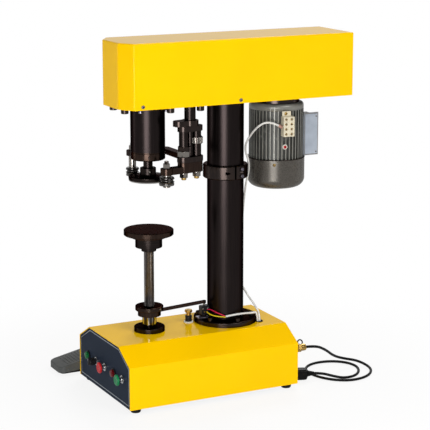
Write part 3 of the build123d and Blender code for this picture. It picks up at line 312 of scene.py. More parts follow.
@dataclass(frozen=True)
class CastPaint:
    """Semi-gloss machine paint over a cast surface."""

    colour: Triple
    shade: Triple
    roughness: float
    dusty: float = 0.35
    grain: float = 0.08
    metal: float = 0.25

    def paint(self, s: Shader) -> None:
        """Build the finish.

        Args:
            s: The material's shader.
        """
        skin = s.noise(300.0, 3.0)
        drift = s.noise(18.0, 3.0)
        dust = s.noise(75.0, 4.0).ramp(0.56, 0.76)
        film = s.mix(drift.ramp(0.35, 0.7), self.colour, self.shade)
        s.set(base_color=s.mix(dust * self.dusty, film, (0.30, 0.30, 0.27)), metallic=self.metal)
        s.set(roughness=self.roughness + 0.12 * skin + 0.12 * dust)
        s.bump(skin, self.grain, 0.0004)


@dataclass(frozen=True)
class Moulded:
    """Moulded plastic or rubber with a fine grain and a slight mottling."""

    colour: Triple
    shade: Triple
    roughness: float
    grain: float
    coat: float = 0.0
    gloss: float = 0.3

    def paint(self, s: Shader) -> None:
        """Build the finish.

        Args:
            s: The material's shader.
        """
        grain = s.noise(self.grain, 2.0)
        mottle = s.noise(48.0, 3.0)
        s.set(base_color=s.mix(mottle.ramp(0.35, 0.72), self.colour, self.shade))
        s.set(roughness=self.roughness + 0.12 * grain, specular_ior_level=self.gloss)
        s.set(coat_weight=self.coat, coat_roughness=0.06)
        s.bump(grain, 0.14, 0.0002)


@dataclass(frozen=True)
class Film:
    """Printed panel film with a fine matt grain."""

    colour: Triple
    shade: Triple

    def paint(self, s: Shader) -> None:
        """Build the finish.

        Args:
            s: The material's shader.
        """
        grain = s.noise(900.0, 2.0)
        cloud = s.noise(14.0, 2.0)
        s.set(base_color=s.mix((grain * 0.3 + cloud * 0.7).ramp(0.36, 0.66), self.colour, self.shade))
        s.set(roughness=0.44 + 0.12 * grain, specular_ior_level=0.04)
        s.bump(grain, 0.05, 0.0002)


class Surface(Enum):
    """The machine's finishes."""

    YELLOW = Enamel((0.950, 0.560, 0.0003), (0.930, 0.540, 0.0003), 0.05, 0.09)
    PANEL = Film((0.018, 0.026, 0.043), (0.023, 0.032, 0.051))
    PANEL_LINE = Moulded((0.42, 0.45, 0.48), (0.36, 0.39, 0.42), 0.35, 900.0)
    COLUMN_BLACK = Oxide((0.026, 0.020, 0.020), (0.034, 0.026, 0.025), 0.24, (700.0, 700.0, 14.0), 0.12)
    BLACK_TURNED = Oxide((0.026, 0.021, 0.020), (0.040, 0.030, 0.027), 0.20, (40.0, 40.0, 2400.0), 0.25)
    BLACK_GROUND = Oxide((0.042, 0.034, 0.032), (0.064, 0.047, 0.041), 0.14, (900.0, 120.0, 60.0))
    BROWN_STEEL = Oxide((0.040, 0.027, 0.022), (0.066, 0.042, 0.032), 0.14, (900.0, 160.0, 60.0))
    GREY_PLATE = CastPaint((0.10, 0.10, 0.10), (0.13, 0.13, 0.125), 0.42)
    BRIGHT_SHAFT = Bright((0.58, 0.555, 0.52), (0.46, 0.43, 0.39), 0.02, (60.0, 60.0, 3000.0))
    # Painted highlights: the lifting shaft and the height screw carry bright streaks in their colour.
    SHAFT_STEEL = BarWithPaintedHighlights((0.045, 0.036, 0.030), (0.78, 0.76, 0.72), 0.06, 250.0)
    SCREW_ROD = BarWithPaintedHighlights((0.135, 0.119, 0.115), (0.30, 0.28, 0.275), 0.24, 330.0)
    THREAD_STEEL = Bright((0.20, 0.172, 0.155), (0.14, 0.116, 0.102), 0.18, (500.0, 500.0, 500.0))
    ROLLER_STEEL = Bright((0.085, 0.078, 0.074), (0.045, 0.038, 0.035), 0.14, (60.0, 60.0, 3400.0))
    # Painted highlight: a brighter steel for the rollers' lower rims, standing for glints.
    RIM_HIGHLIGHT_STEEL = Bright((0.20, 0.19, 0.18), (0.10, 0.09, 0.085), 0.14, (60.0, 60.0, 3000.0))
    NUT_STEEL = Bright((0.34, 0.315, 0.285), (0.13, 0.105, 0.088), 0.10, (500.0, 500.0, 500.0))
    SCREW_STEEL = Bright((0.30, 0.28, 0.33), (0.16, 0.14, 0.17), 0.24, (800.0, 800.0, 800.0))
    SPRING_STEEL = Bright((0.45, 0.45, 0.46), (0.30, 0.29, 0.28), 0.25, (900.0, 900.0, 900.0))
    CHROME = Bright((0.72, 0.72, 0.73), (0.60, 0.60, 0.61), 0.07, (120.0, 120.0, 120.0))
    BRASS = Bright((0.62, 0.40, 0.12), (0.40, 0.24, 0.07), 0.20, (260.0, 260.0, 1800.0))
    PULLEY = Bright((0.62, 0.63, 0.64), (0.48, 0.48, 0.48), 0.28, (60.0, 60.0, 2500.0))
    MOTOR_PAINT = CastPaint((0.235, 0.230, 0.203), (0.200, 0.196, 0.173), 0.24)
    # Painted shade for the grooves between the motor's fins.
    FIN_SHADE = CastPaint((0.070, 0.070, 0.063), (0.054, 0.054, 0.048), 0.36)
    COWL_PAINT = CastPaint((0.120, 0.109, 0.094), (0.100, 0.091, 0.079), 0.22, 0.05, 0.02, 0.60)
    BOX_GREY = Moulded((0.37, 0.41, 0.47), (0.31, 0.345, 0.40), 0.38, 700.0)
    BOX_EDGE = Moulded((0.25, 0.245, 0.24), (0.20, 0.19, 0.18), 0.42, 700.0)
    CREAM = Moulded((0.66, 0.60, 0.45), (0.57, 0.51, 0.38), 0.40, 900.0)
    PEDAL_GREY = Moulded((0.085, 0.089, 0.087), (0.068, 0.072, 0.070), 0.42, 520.0)
    BLACK_PLASTIC = Moulded((0.008, 0.008, 0.009), (0.013, 0.013, 0.014), 0.28, 800.0, 0.0, 0.22)
    RED_CAP = Moulded((0.50, 0.008, 0.012), (0.42, 0.006, 0.010), 0.22, 600.0, 0.06)
    GREEN_CAP = Moulded((0.002, 0.190, 0.060), (0.002, 0.160, 0.050), 0.22, 600.0, 0.06)
    RED_LENS = Moulded((0.110, 0.002, 0.004), (0.085, 0.002, 0.003), 0.12, 300.0, 0.15)
    GREEN_LENS = Moulded((0.003, 0.120, 0.032), (0.002, 0.095, 0.026), 0.12, 300.0, 0.15)
    RUBBER = Moulded((0.009, 0.009, 0.009), (0.015, 0.014, 0.014), 0.50, 900.0, 0.0, 0.15)
    CORD_BLACK = Moulded((0.005, 0.005, 0.005), (0.008, 0.008, 0.008), 0.32, 500.0, 0.0, 0.12)
    CABLE_WHITE = Moulded((0.72, 0.71, 0.68), (0.62, 0.60, 0.56), 0.36, 600.0)
    SLEEVE_PINK = Moulded((0.42, 0.24, 0.19), (0.36, 0.20, 0.16), 0.40, 600.0)
    WIRE_RED = Moulded((0.58, 0.008, 0.060), (0.50, 0.006, 0.050), 0.32, 600.0)
    WIRE_YELLOW = Moulded((0.72, 0.56, 0.010), (0.64, 0.48, 0.008), 0.32, 600.0)
    WASHER_WHITE = Moulded((0.66, 0.64, 0.58), (0.56, 0.53, 0.46), 0.40, 700.0)

    def material(self) -> bpy.types.Material:
        """The finish as a material, made once.

        Returns:
            The material.
        """
        name = self.name.lower() + "_finish"
        if name not in bpy.data.materials:
            shader = Shader(name)
            self.value.paint(shader)
        return bpy.data.materials[name]


class Drive(Enum):
    """How a screw is driven."""

    SOCKET = "socket"
    CROSS = "cross"


def aim(place: Triple, direction: Triple) -> Matrix:
    """Placement that turns a form's Z axis to a direction at a place, in millimetres."""
    return Matrix.Translation(place) @ Vector(direction).to_track_quat("Z", "Y").to_matrix().to_4x4()


def upright(x: float, y: float, z: float = 0.0) -> Matrix:
    """Placement of an upright form."""
    return Matrix.Translation((x, y, z))


def round_edges(mesh: bmesh.types.BMesh, edges: list[bmesh.types.BMEdge], radius: float,
                segments: int) -> None:
    """Round edges of a mesh.

    Args:
        mesh: The mesh.
        edges: Its edges to round.
        radius: Radius of the rounding.
        segments: Faces across it.
    """
    bmesh.ops.bevel(mesh, geom=edges, offset=radius, segments=segments, profile=0.5, affect="EDGES",
                    clamp_overlap=True)


class Form:
    """A mesh under construction, in millimetres in the machine's frame."""

    weld_gap: float = 1e-4
    solid_gap: float = 0.002
    flat_angle: float = math.radians(0.8)
    fold_angle: float = math.radians(24)
    corner_angle: float = math.radians(40)

    def __init__(self, surface: Surface) -> None:
        """Start an empty mesh with its main finish."""
        self.bm = bmesh.new()
        self.surfaces = [surface]

    def number(self, surface: Surface | None) -> int:
        """Material number of a finish, added when it is new.

        Args:
            surface: The finish, or None for the form's main one.

        Returns:
            Its number in the mesh.
        """
        if surface is None:
            return 0
        if surface not in self.surfaces:
            self.surfaces.append(surface)
        return self.surfaces.index(surface)

    def face(self, corners: Sequence[bmesh.types.BMVert], index: int) -> None:
        """Add one face, unless its corners coincide.

        Args:
            corners: Its corners in order.
            index: Its material number.
        """
        unique = list(dict.fromkeys(corners))
        if len(unique) > 2 and not self.bm.faces.get(unique):
            self.bm.faces.new(unique).material_index = index

    def lathe(self, profile: Iterable[tuple[float, ...]], place: Matrix, surface: Surface | None = None,
              steps: int = 48) -> "Form":
        """Turn a profile around the Z axis of a placement.

        Args:
            profile: Points of radius, height and, for a prism instead of a circle, its number of sides.
            place: Placement of the form.
            surface: Its finish, or the form's main one.
            steps: Faces around the axis.

        Returns:
            The form itself.
        """
        index = self.number(surface)
        rings = []
        for point in profile:
            radius, height = point[0], point[1]
            sides = int(point[2]) if len(point) > 2 else 0
            if radius < 1e-6:
                rings.append([self.bm.verts.new(place @ Vector((0, 0, height)))] * steps)
                continue
            ring = []
            for i in range(steps):
                turn = 2 * math.pi * i / steps
                reach = radius
                if sides:
                    half = math.pi / sides
                    reach *= math.cos(half) / math.cos(turn % (2 * half) - half)
                spot = Vector((reach * math.cos(turn), reach * math.sin(turn), height))
                ring.append(self.bm.verts.new(place @ spot))
            rings.append(ring)
        for low, high in zip(rings, rings[1:]):
            for i in range(steps):
                j = (i + 1) % steps
                self.face((low[i], low[j], high[j], high[i]), index)
        return self

    def block(self, low: Triple, high: Triple, bevel: float, place: Matrix | None = None,
              surface: Surface | None = None) -> "Form":
        """Box between two corners with rounded edges.

        Args:
            low: Lowest corner.
            high: Highest corner.
            bevel: Radius of its edges.
            place: Placement of the box.
            surface: Its finish, or the form's main one.

        Returns:
            The form itself.
        """
        outline = [(low[0], low[1]), (high[0], low[1]), (high[0], high[1]), (low[0], high[1])]
        return self.prism(outline, low[2], high[2], bevel, place, surface)

    def prism(self, outline: Sequence[tuple[float, float]], low: float, high: float, bevel: float,
              place: Matrix | None = None, surface: Surface | None = None) -> "Form":
        """Upright prism over a plan with rounded edges.

        Args:
            outline: Corners of the plan.
            low: Height of its lower face.
            high: Height of its upper face.
            bevel: Radius of its edges.
            place: Placement of the prism.
            surface: Its finish, or the form's main one.

        Returns:
            The form itself.
        """
        place = place or Matrix.Identity(4)
        index = self.number(surface)
        lower = [self.bm.verts.new(place @ Vector((x, y, low))) for x, y in outline]
        upper = [self.bm.verts.new(place @ Vector((x, y, high))) for x, y in outline]
        faces = [self.bm.faces.new(lower[::-1]), self.bm.faces.new(upper)]
        count = len(outline)
        for i in range(count):
            j = (i + 1) % count
            faces.append(self.bm.faces.new((lower[i], lower[j], upper[j], upper[i])))
        for face in faces:
            face.material_index = index
        if bevel > 0:
            round_edges(self.bm, list({edge for face in faces for edge in face.edges}), bevel, 3)
        return self

    def thread(self, radius: float, depth: float, low: float, high: float, pitch: float, place: Matrix,
               surface: Surface | None = None, steps: int = 32) -> "Form":
        """Helical screw thread around a core that closes it.

        Args:
            radius: Crest radius.
            depth: Depth of the groove.
            low: Lower end.
            high: Upper end.
            pitch: Rise of one turn.
            place: Placement of the rod.
            surface: Its finish, or the form's main one.
            steps: Faces around one turn.

        Returns:
            The form itself.
        """
        index = self.number(surface)
        count = int((high - low) / pitch * steps) - steps
        roots, crests = [], []
        for i in range(count + steps + 1):
            turn = 2 * math.pi * i / steps
            around = Vector((math.cos(turn), math.sin(turn), 0))
            height = Vector((0, 0, low + pitch * i / steps))
            roots.append(self.bm.verts.new(place @ (around * (radius - depth) + height)))
            if i <= count:
                lift = Vector((0, 0, pitch / 2))
                crests.append(self.bm.verts.new(place @ (around * radius + height + lift)))
        for i in range(count):
            self.face((roots[i], roots[i + 1], crests[i + 1], crests[i]), index)
            self.face((crests[i], crests[i + 1], roots[i + 1 + steps], roots[i + steps]), index)
        core = radius - depth * 1.02
        return self.lathe([(0, low), (core, low), (core, high), (0, high)], place, surface, steps)

    def nut(self, corner: float, height: float, place: Matrix, surface: Surface | None = None) -> "Form":
        """Hexagon nut with its corners turned off at both ends.

        Args:
            corner: Radius at its corners.
            height: Its height.
            place: Where its underside's middle lies.
            surface: Its finish, or None for the form's main one.

        Returns:
            The form itself.
        """
        flat = corner * 0.90
        profile = [(0, 0), (flat, 0), (corner, 1.0, 6), (corner, height - 1.0, 6), (flat, height),
                   (0, height)]
        return self.lathe(profile, place, surface, 24)

    def screw(self, drive: Drive, radius: float, height: float, place: Matrix,
              surface: Surface | None = None) -> "Form":
        """Screw head whose underside lies on the placement's XY plane.

        Args:
            drive: Its recess.
            radius: Radius of the head.
            height: Height of the head.
            place: Placement of the head.
            surface: Its finish, or the form's main one.

        Returns:
            The form itself.
        """
        if drive is Drive.SOCKET:
            key = radius * 0.60
            edge = radius * 0.12
            floor = height * 0.4
            profile = [(0, 0), (radius, 0), (radius, height - edge), (radius - edge, height),
                       (key + 0.4, height), (key, height - 0.4, 6), (key, floor, 6), (0, floor)]
            return self.lathe(profile, place, surface, 24)
        self.lathe([(0, 0), (radius, 0), (radius, height * 0.35), (radius * 0.82, height * 0.78),
                    (radius * 0.45, height), (0, height)], place, surface, 24)
        # Painted shade: the cross recess is two black bars on the head, standing for the shaded slots.
        arm, half = radius * 0.55, radius * 0.11
        for turn in (0.0, math.pi / 2):
            tilt = place @ Matrix.Rotation(turn, 4, "Z")
            self.block((-arm, -half, height * 0.55), (arm, half, height + 0.02), 0.0, tilt,
                       Surface.BLACK_PLASTIC)
        return self

    def node(self, name: str, bevel: float, fold: float = 0.0,
             folded: Callable[[Vector], bool] | None = None, surface: Surface | None = None) -> "Form":
        """Take a CAD node's solid with its edges softened.

        Args:
            name: The node.
            bevel: Radius of its sharp edges.
            fold: Radius of its larger folds.
            folded: Tells from an edge's middle whether it is a fold.
            surface: Its finish, or the form's main one.

        Returns:
            The form itself.
        """
        solid = bmesh.new()
        solid.from_mesh(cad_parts[name].data)
        solid.transform(TO_FRAME.inverted())
        bmesh.ops.remove_doubles(solid, verts=solid.verts, dist=self.solid_gap)
        bmesh.ops.dissolve_limit(solid, angle_limit=self.flat_angle, verts=solid.verts, edges=solid.edges)

        def convex(angle: float) -> list[bmesh.types.BMEdge]:
            """Edges at which the solid turns outward by more than an angle."""
            return [edge for edge in solid.edges
                    if len(edge.link_faces) == 2 and edge.calc_face_angle_signed(0.0) > angle]

        if folded:
            edges = [e for e in convex(self.fold_angle) if folded((e.verts[0].co + e.verts[1].co) / 2)]
            round_edges(solid, edges, fold, 4)
        if bevel > 0:
            round_edges(solid, convex(self.corner_angle), bevel, 2)
        index = self.number(surface)
        for face in solid.faces:
            face.material_index = index
        mesh = bpy.data.meshes.new("softened")
        solid.to_mesh(mesh)
        solid.free()
        self.bm.from_mesh(mesh)
        bpy.data.meshes.remove(mesh)
        return self

    def tint(self, surface: Surface, chosen: Callable[[Vector], bool]) -> "Form":
        """Give another finish to some faces.

        Args:
            surface: The finish.
            chosen: Tells from a face's middle whether it takes the finish.

        Returns:
            The form itself.
        """
        index = self.number(surface)
        for face in self.bm.faces:
            if chosen(face.calc_center_median()):
                face.material_index = index
        return self

    def piece(self, name: str, body: str, slot: str, replaces: Sequence[str] = (),
              smooth: float = 32.0) -> bpy.types.Object:
        """Finish the mesh as a piece that rides on a body.

        Args:
            name: The piece's name.
            body: The body that carries it.
            slot: Not used.
            replaces: CAD nodes that it stands for.
            smooth: Angle in degrees under which faces are shaded as one.

        Returns:
            The new object.
        """
        bmesh.ops.remove_doubles(self.bm, verts=self.bm.verts, dist=self.weld_gap)
        self.bm.transform(TO_FRAME)
        bmesh.ops.recalc_face_normals(self.bm, faces=self.bm.faces)
        mesh = bpy.data.meshes.new(name)
        self.bm.to_mesh(mesh)
        self.bm.free()
        mesh.shade_smooth()
        mesh.set_sharp_from_angle(angle=math.radians(smooth))
        for surface in self.surfaces:
            mesh.materials.append(surface.material())
        made = bpy.data.objects.new(name, mesh)
        bpy.context.scene.collection.objects.link(made)
        made.modifiers.new("even_normals", "WEIGHTED_NORMAL").keep_sharp = True
        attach(made, body)
        if replaces:
            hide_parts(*replaces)
        LOG.info("%s on %s", name, body)
        return made


class SubAssembly:
    """What every sub-assembly shares: dressing nodes and laying cables."""

    def build(self) -> None:
        """Make the sub-assembly's pieces."""
        raise NotImplementedError

    def dress(self, surface: Surface, *nodes: str) -> None:
        """Give CAD nodes that stay a finish.

        Args:
            surface: The finish.
            nodes: Names of the nodes.
        """
        for name in nodes:
            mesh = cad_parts[name].data
            mesh.materials.clear()
            mesh.materials.append(surface.material())

    def soften(self, surface: Surface, body: str, slot: str, bevel: float, *nodes: str) -> None:
        """Replace CAD nodes by the same solids with softened edges."""
        for name in nodes:
            Form(surface).node(name, bevel).piece(name + "_finished", body, slot, [name])

    def cable(self, name: str, points: Sequence[Triple], diameter: float, surface: Surface, body: str,
              slot: str, replaces: Sequence[str] = ()) -> bpy.types.Object:
        """Round cable on a smooth spline.

        Args:
            name: The piece's name.
            points: Control points in millimetres.
            diameter: Its diameter.
            surface: Its finish.
            body: The body that carries it.
            slot: Not used.
            replaces: CAD nodes that it stands for.

        Returns:
            The curve object.
        """
        curve = bpy.data.curves.new(name, "CURVE")
        curve.dimensions = "3D"
        curve.bevel_depth = diameter / 2 * MM
        curve.bevel_resolution = 5
        curve.use_fill_caps = True
        spline = curve.splines.new("NURBS")
        spline.points.add(len(points) - 1)
        for point, spot in zip(spline.points, points):
            point.co = (*(TO_FRAME @ Vector(spot)), 1.0)
        spline.order_u = 3
        spline.use_endpoint_u = True
        spline.resolution_u = 10
        spline.use_smooth = True
        curve.materials.append(surface.material())
        made = bpy.data.objects.new(name, curve)
        bpy.context.scene.collection.objects.link(made)
        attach(made, body)
        if replaces:
            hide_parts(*replaces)
        LOG.info("%s on %s", name, body)
        return made


@dataclass(frozen=True)
class SoftBox:
    """Rectangular lamp that faces the middle of the machine, in metres and watts."""

    name: str
    place: Triple
    width: float
    height: float
    watts: float
    aim_height: float = 0.4

    def hang(self) -> None:
        """Add the lamp to the scene."""
        data = bpy.data.lights.new(self.name, "AREA")
        data.shape = "RECTANGLE"
        data.size = self.width
        data.size_y = self.height
        data.energy = self.watts
        lamp = bpy.data.objects.new(self.name, data)
        bpy.context.scene.collection.objects.link(lamp)
        lamp.location = self.place
        way = Vector((0.0, 0.0, self.aim_height)) - Vector(self.place)
        lamp.rotation_euler = way.to_track_quat("-Z", "Y").to_euler()
        lamp.visible_camera = False


@dataclass
class Stage:
    """Camera, floor, world and lights of the photograph's view."""

    eye: Triple = (-1446.7, -3005.8, 1119.1)
    yaw: float = 26.727
    pitch: float = 12.492
    lens: float = 132.47
    sensor: float = 36.0
    far_clip: float = 60.0
    floor_size: float = 14.0
    floor_drop: float = 0.0003
    floor_colour: Triple = (0.86, 0.85, 0.84)
    floor_share: float = 0.86
    floor_fade: tuple[float, float] = (0.25, 0.80)
    shade: float = 0.26
    glow: float = 0.52
    glow_side: Triple = (-0.50, -0.80, 0.33)
    room: float = 0.10
    wall: float = 0.68
    wall_side: Triple = (0.45, 0.893, 0.0)
    floor_gloss: float = 0.5
    lamps: tuple[SoftBox, ...] = (
        SoftBox("key_light", (-1.35, -1.95, 0.45), 1.10, 0.90, 26.5),
        SoftBox("fill_light", (0.75, -2.05, 2.20), 1.30, 1.10, 25.0),
        SoftBox("left_strip", (-1.90, 1.10, 0.80), 0.20, 1.40, 3.0),
        SoftBox("right_strip", (2.10, -0.60, 0.80), 0.12, 1.40, 1.4),
        SoftBox("back_light", (1.50, 1.80, 2.30), 1.30, 1.10, 31.0))

    def build(self) -> None:
        """Make the whole stage."""
        self._camera()
        self._floor()
        self._world()
        for lamp in self.lamps:
            lamp.hang()

    def _camera(self) -> None:
        """Camera at the photograph's place."""
        data = bpy.data.cameras.new("photo_camera")
        data.lens = self.lens
        data.sensor_width = self.sensor
        data.clip_end = self.far_clip
        camera = bpy.data.objects.new("photo_camera", data)
        bpy.context.scene.collection.objects.link(camera)
        camera.location = TO_FRAME @ Vector(self.eye)
        camera.rotation_euler = (math.radians(90 - self.pitch), 0.0, math.radians(-self.yaw))
        bpy.context.scene.camera = camera

    def _floor(self) -> None:
        """White floor that keeps a soft shadow near the machine and fades out around it."""
        half = self.floor_size / 2
        mesh = bpy.data.meshes.new("floor")
        corners = [(-half, -half, 0), (half, -half, 0), (half, half, 0), (-half, half, 0)]
        mesh.from_pydata(corners, [], [(0, 1, 2, 3)])
        floor = bpy.data.objects.new("floor", mesh)
        bpy.context.scene.collection.objects.link(floor)
        floor.location.z = -self.floor_drop
        s = Shader("floor_white")
        s.set(base_color=self.floor_colour, roughness=0.5)
        camera = s.ray("Camera")
        seen = camera.largest(s.ray("Glossy")).largest(s.ray("Transmission"))
        centre = s.node("ShaderNodeVectorMath", {"operation": "LENGTH"}, {0: s.place()})
        far = Number(s, centre.outputs["Value"]).ramp(*self.floor_fade)
        shown = s.mix(camera, (self.floor_gloss,) * 3, (1.0, 1.0, 1.0))
        white = s.node("ShaderNodeEmission", None, {"Color": shown, "Strength": 1.0})
        share = self.floor_share + far * (1.0 - self.floor_share)
        inputs = {0: share * seen, 1: s.surface.outputs[0], 2: white.outputs[0]}
        blend = s.node("ShaderNodeMixShader", None, inputs)
        s.feed(s.output.inputs["Surface"], blend.outputs[0])
        mesh.materials.append(s.material)

    def _world(self) -> None:
        """White past the floor, and for gloss a pale wall behind the machine and a dim room before it."""
        world = bpy.data.worlds.new("studio")
        bpy.context.scene.world = world
        g = Graph(world)
        camera, gloss = g.ray("Camera"), g.ray("Glossy").largest(g.ray("Transmission"))
        shown = self.room + (self.wall - self.room) * g.facing(self.wall_side).ramp(0.45, 0.95)
        soft = self.shade + (self.glow - self.shade) * g.facing(self.glow_side).ramp(-0.7, 0.8)
        lit = gloss * shown + (1.0 - gloss) * soft
        back = g.tree.nodes["Background"]
        g.feed(back.inputs["Color"], (1.0, 1.0, 1.0))
        g.feed(back.inputs["Strength"], camera + (1.0 - camera) * lit)
        bpy.context.scene.view_settings.view_transform = "Standard"


@dataclass
class MainsLead(SubAssembly):
    """Mains cord with its plug, its gland and the ring beside it."""

    end: float = 200.0
    gland_y: float = -124.0
    gland_z: float = 86.0
    gland_length: float = 26.0
    diameter: float = 6.0
    length: float = 0.838
    lie: float = 3.2
    plug_entry: Triple = (263.0, -100.0, 13.0)
    plug_before: Triple = (281.0, -106.0, 12.0)

    def route(self) -> list[Triple]:
        """Route of the cord.

        Returns:
            Its points, from inside the gland to the plug.
        """
        lie = self.lie
        return [(self.end + 12, self.gland_y, self.gland_z), (self.end + 50, self.gland_y, self.gland_z),
                (292, -100, 64), (330, -72, 36), (368, -53, 19), (402, -58, 11), (413, -92, 5),
                (400, -124, lie), (368, -150, lie), (328, -156, lie), (296, -138, lie), (276, -108, lie),
                (268, -72, lie), (276, -36, lie), (306, -12, lie), (346, -10, lie), (380, -30, lie),
                (393, -66, lie), (380, -104, lie), (352, -132, lie), (320, -134, lie), (300, -120, 7),
                self.plug_before, self.plug_entry]

    def build(self) -> None:
        """Lay the cord and make what is on it."""
        cord = self.cable("mains_cord_laid", self.route(), self.diameter, Surface.CORD_BLACK, "frame",
                          "black_rubber", ["mains_cord"])
        plug = self._plug()
        self._gland()

    def _plug(self) -> bpy.types.Object:
        """Moulded plug with a ribbed strain relief and two round pins.

        Returns:
            The plug's object.
        """
        run = Vector(self.plug_entry) - Vector(self.plug_before)
        turn = math.atan2(run.y, run.x)
        place = Matrix.Translation(self.plug_entry) @ Matrix.Rotation(turn, 4, "Z")
        along = place @ Matrix.Rotation(math.pi / 2, 4, "Y")
        form = Form(Surface.CORD_BLACK)
        sides = 32
        relief = [(0.0, 0.2), (3.9, 0.2)]
        for i in range(6):
            base, grow = 1.0 + i * 2.5, 4.0 + i * 0.55
            relief += [(grow, base), (grow + 0.4, base + 0.5), (grow + 0.4, base + 1.3),
                       (grow - 0.2, base + 1.7)]
        form.lathe(relief + [(7.3, 16.4), (0.0, 16.4)], along, steps=sides)
        body = [(16.0, 9.0, 8.0), (18.5, 12.2, 12.0), (24.0, 12.8, 12.6), (36.0, 12.8, 12.6),
                (41.0, 12.4, 12.2), (42.0, 11.6, 11.4)]
        rings = []
        for x, wide, high in body:
            ring = []
            for i in range(sides):
                angle = 2 * math.pi * i / sides
                c, s = math.cos(angle), math.sin(angle)
                soft = (abs(c) ** 4 + abs(s) ** 4) ** -0.25
                ring.append(form.bm.verts.new(place @ Vector((x, wide * c * soft, high * s * soft))))
            rings.append(ring)
        for low, high in zip(rings, rings[1:]):
            for i in range(sides):
                j = (i + 1) % sides
                form.face((low[i], low[j], high[j], high[i]), 0)
        form.face(rings[0], 0)
        form.face(rings[-1], 0)
        for side in (-8.0, 8.0):
            pin = along @ Matrix.Translation((0, side, 0))
            form.lathe([(0, 41.5), (2.2, 41.5), (2.2, 55.8), (1.2, 56.9), (0, 56.9)], pin, Surface.BRASS, 20)
        return form.piece("mains_plug_moulded", "frame", "black_plastic", ["mains_plug"])

    def _gland(self) -> None:
        """Brass gland with a hexagon and a rubber seal, and the eye screw above it."""
        place = aim((self.end, self.gland_y, self.gland_z), (1, 0, 0))
        form = Form(Surface.BRASS)
        bore = self.diameter / 2 + 0.3
        long = self.gland_length
        form.lathe([(bore, long), (6.0, long), (7.2, 25), (7.5, 23.6), (7.5, 15), (6.4, 14.4), (6.4, 14),
                    (9.4, 13.4, 6), (9.4, 6.6, 6), (6.4, 6), (7.5, 5.4), (7.5, 0), (6.0, 0), (6.0, -8),
                    (bore, -8), (bore, long)], place)
        seal = bore - 0.2
        form.lathe([(seal, long + 0.6), (5.0, long + 0.6), (5.4, long - 0.2), (seal, long - 0.2),
                    (seal, long + 0.6)], place, Surface.RUBBER)
        form.piece("cable_gland_turned", "frame", "brass", ["cable_gland"])
        eye = Form(Surface.BLACK_PLASTIC)
        mid = Vector((self.end + 17.0, self.gland_y + 8.0, self.gland_z + 9.0))
        turns = [i * math.pi / 6 for i in range(13)]
        ring = [(6.0 + 1.5 * math.cos(turn), 1.5 * math.sin(turn)) for turn in turns]
        eye.lathe(ring, aim(mid, (0, -1, 0.25)), steps=32)
        eye.lathe([(0, -17.0), (3.6, -17.0), (3.6, -15.6), (1.4, -15.2), (1.4, -5.6), (0, -5.6)],
                  aim(mid, (1, 0, 0)), steps=20)
        eye.piece("clip_ring", "frame", "black_plastic")


@dataclass
class Wiring(SubAssembly):
    """Motor lead and the limit switch's wires, with their grommet."""

    lead_diameter: float = 4.4
    wire_diameter: float = 2.4
    hole_x: float = 152.5
    hole_y: float = -46.0
    base_top: float = 134.0
    depth: float = 24.0
    terminal: Triple = (194.2, -66.0, 567.0)
    motor_lead_length: float = 0.560
    switch_lead_length: float = 0.120

    def build(self) -> None:
        """Lay the four cables."""
        step = self.lead_diameter / 2 + 0.3
        low = self.base_top - self.depth
        entry = self.hole_x + step
        lead = self._lay("motor_lead", Surface.CABLE_WHITE, self.lead_diameter,
                         [self.terminal, (168, -66, 582), (147, -50, 574), (139, -10, 535), (139.5, 0, 512),
                          (144.5, -11, 487), (144.5, -9, 462), (140.5, 0, 432), (134, 14, 275),
                          (134.5, 12, 215), (141.5, -6, 190), (150, -34, 166), (entry, self.hole_y, 148),
                          (entry, self.hole_y, low)])
        entry = self.hole_x - step
        lead = self._lay("switch_lead", Surface.CABLE_WHITE, self.lead_diameter,
                         [(entry, self.hole_y, low), (entry, self.hole_y, 156), (134, -48, 156),
                          (112, -50, 158), (90, -47, 157), (72, -42, 154)])
        red = self._lay("switch_wire_red", Surface.WIRE_RED, self.wire_diameter,
                        [(46, -5.1, 164), (48, -14, 167), (54, -28, 162), (71, -41, 155)])
        yellow = self._lay("switch_wire_yellow", Surface.WIRE_YELLOW, self.wire_diameter,
                           [(44, -5.1, 159), (45, -16, 156), (52, -32, 154), (71, -44, 153)])
        form = Form(Surface.RUBBER)
        form.lathe([(6.6, -2.0), (8.6, -0.2), (9.0, 1.0), (8.0, 1.9), (6.8, 1.4), (6.6, -2.0)],
                   upright(self.hole_x, self.hole_y, self.base_top), steps=32)
        form.piece("cable_grommet", "frame", "black_rubber")

    def _lay(self, name: str, surface: Surface, diameter: float,
             points: Sequence[Triple]) -> bpy.types.Object:
        """Lay one cable that both its ends hold."""
        return self.cable(name, points, diameter, surface, "frame", "white_sheath", ["wiring"])


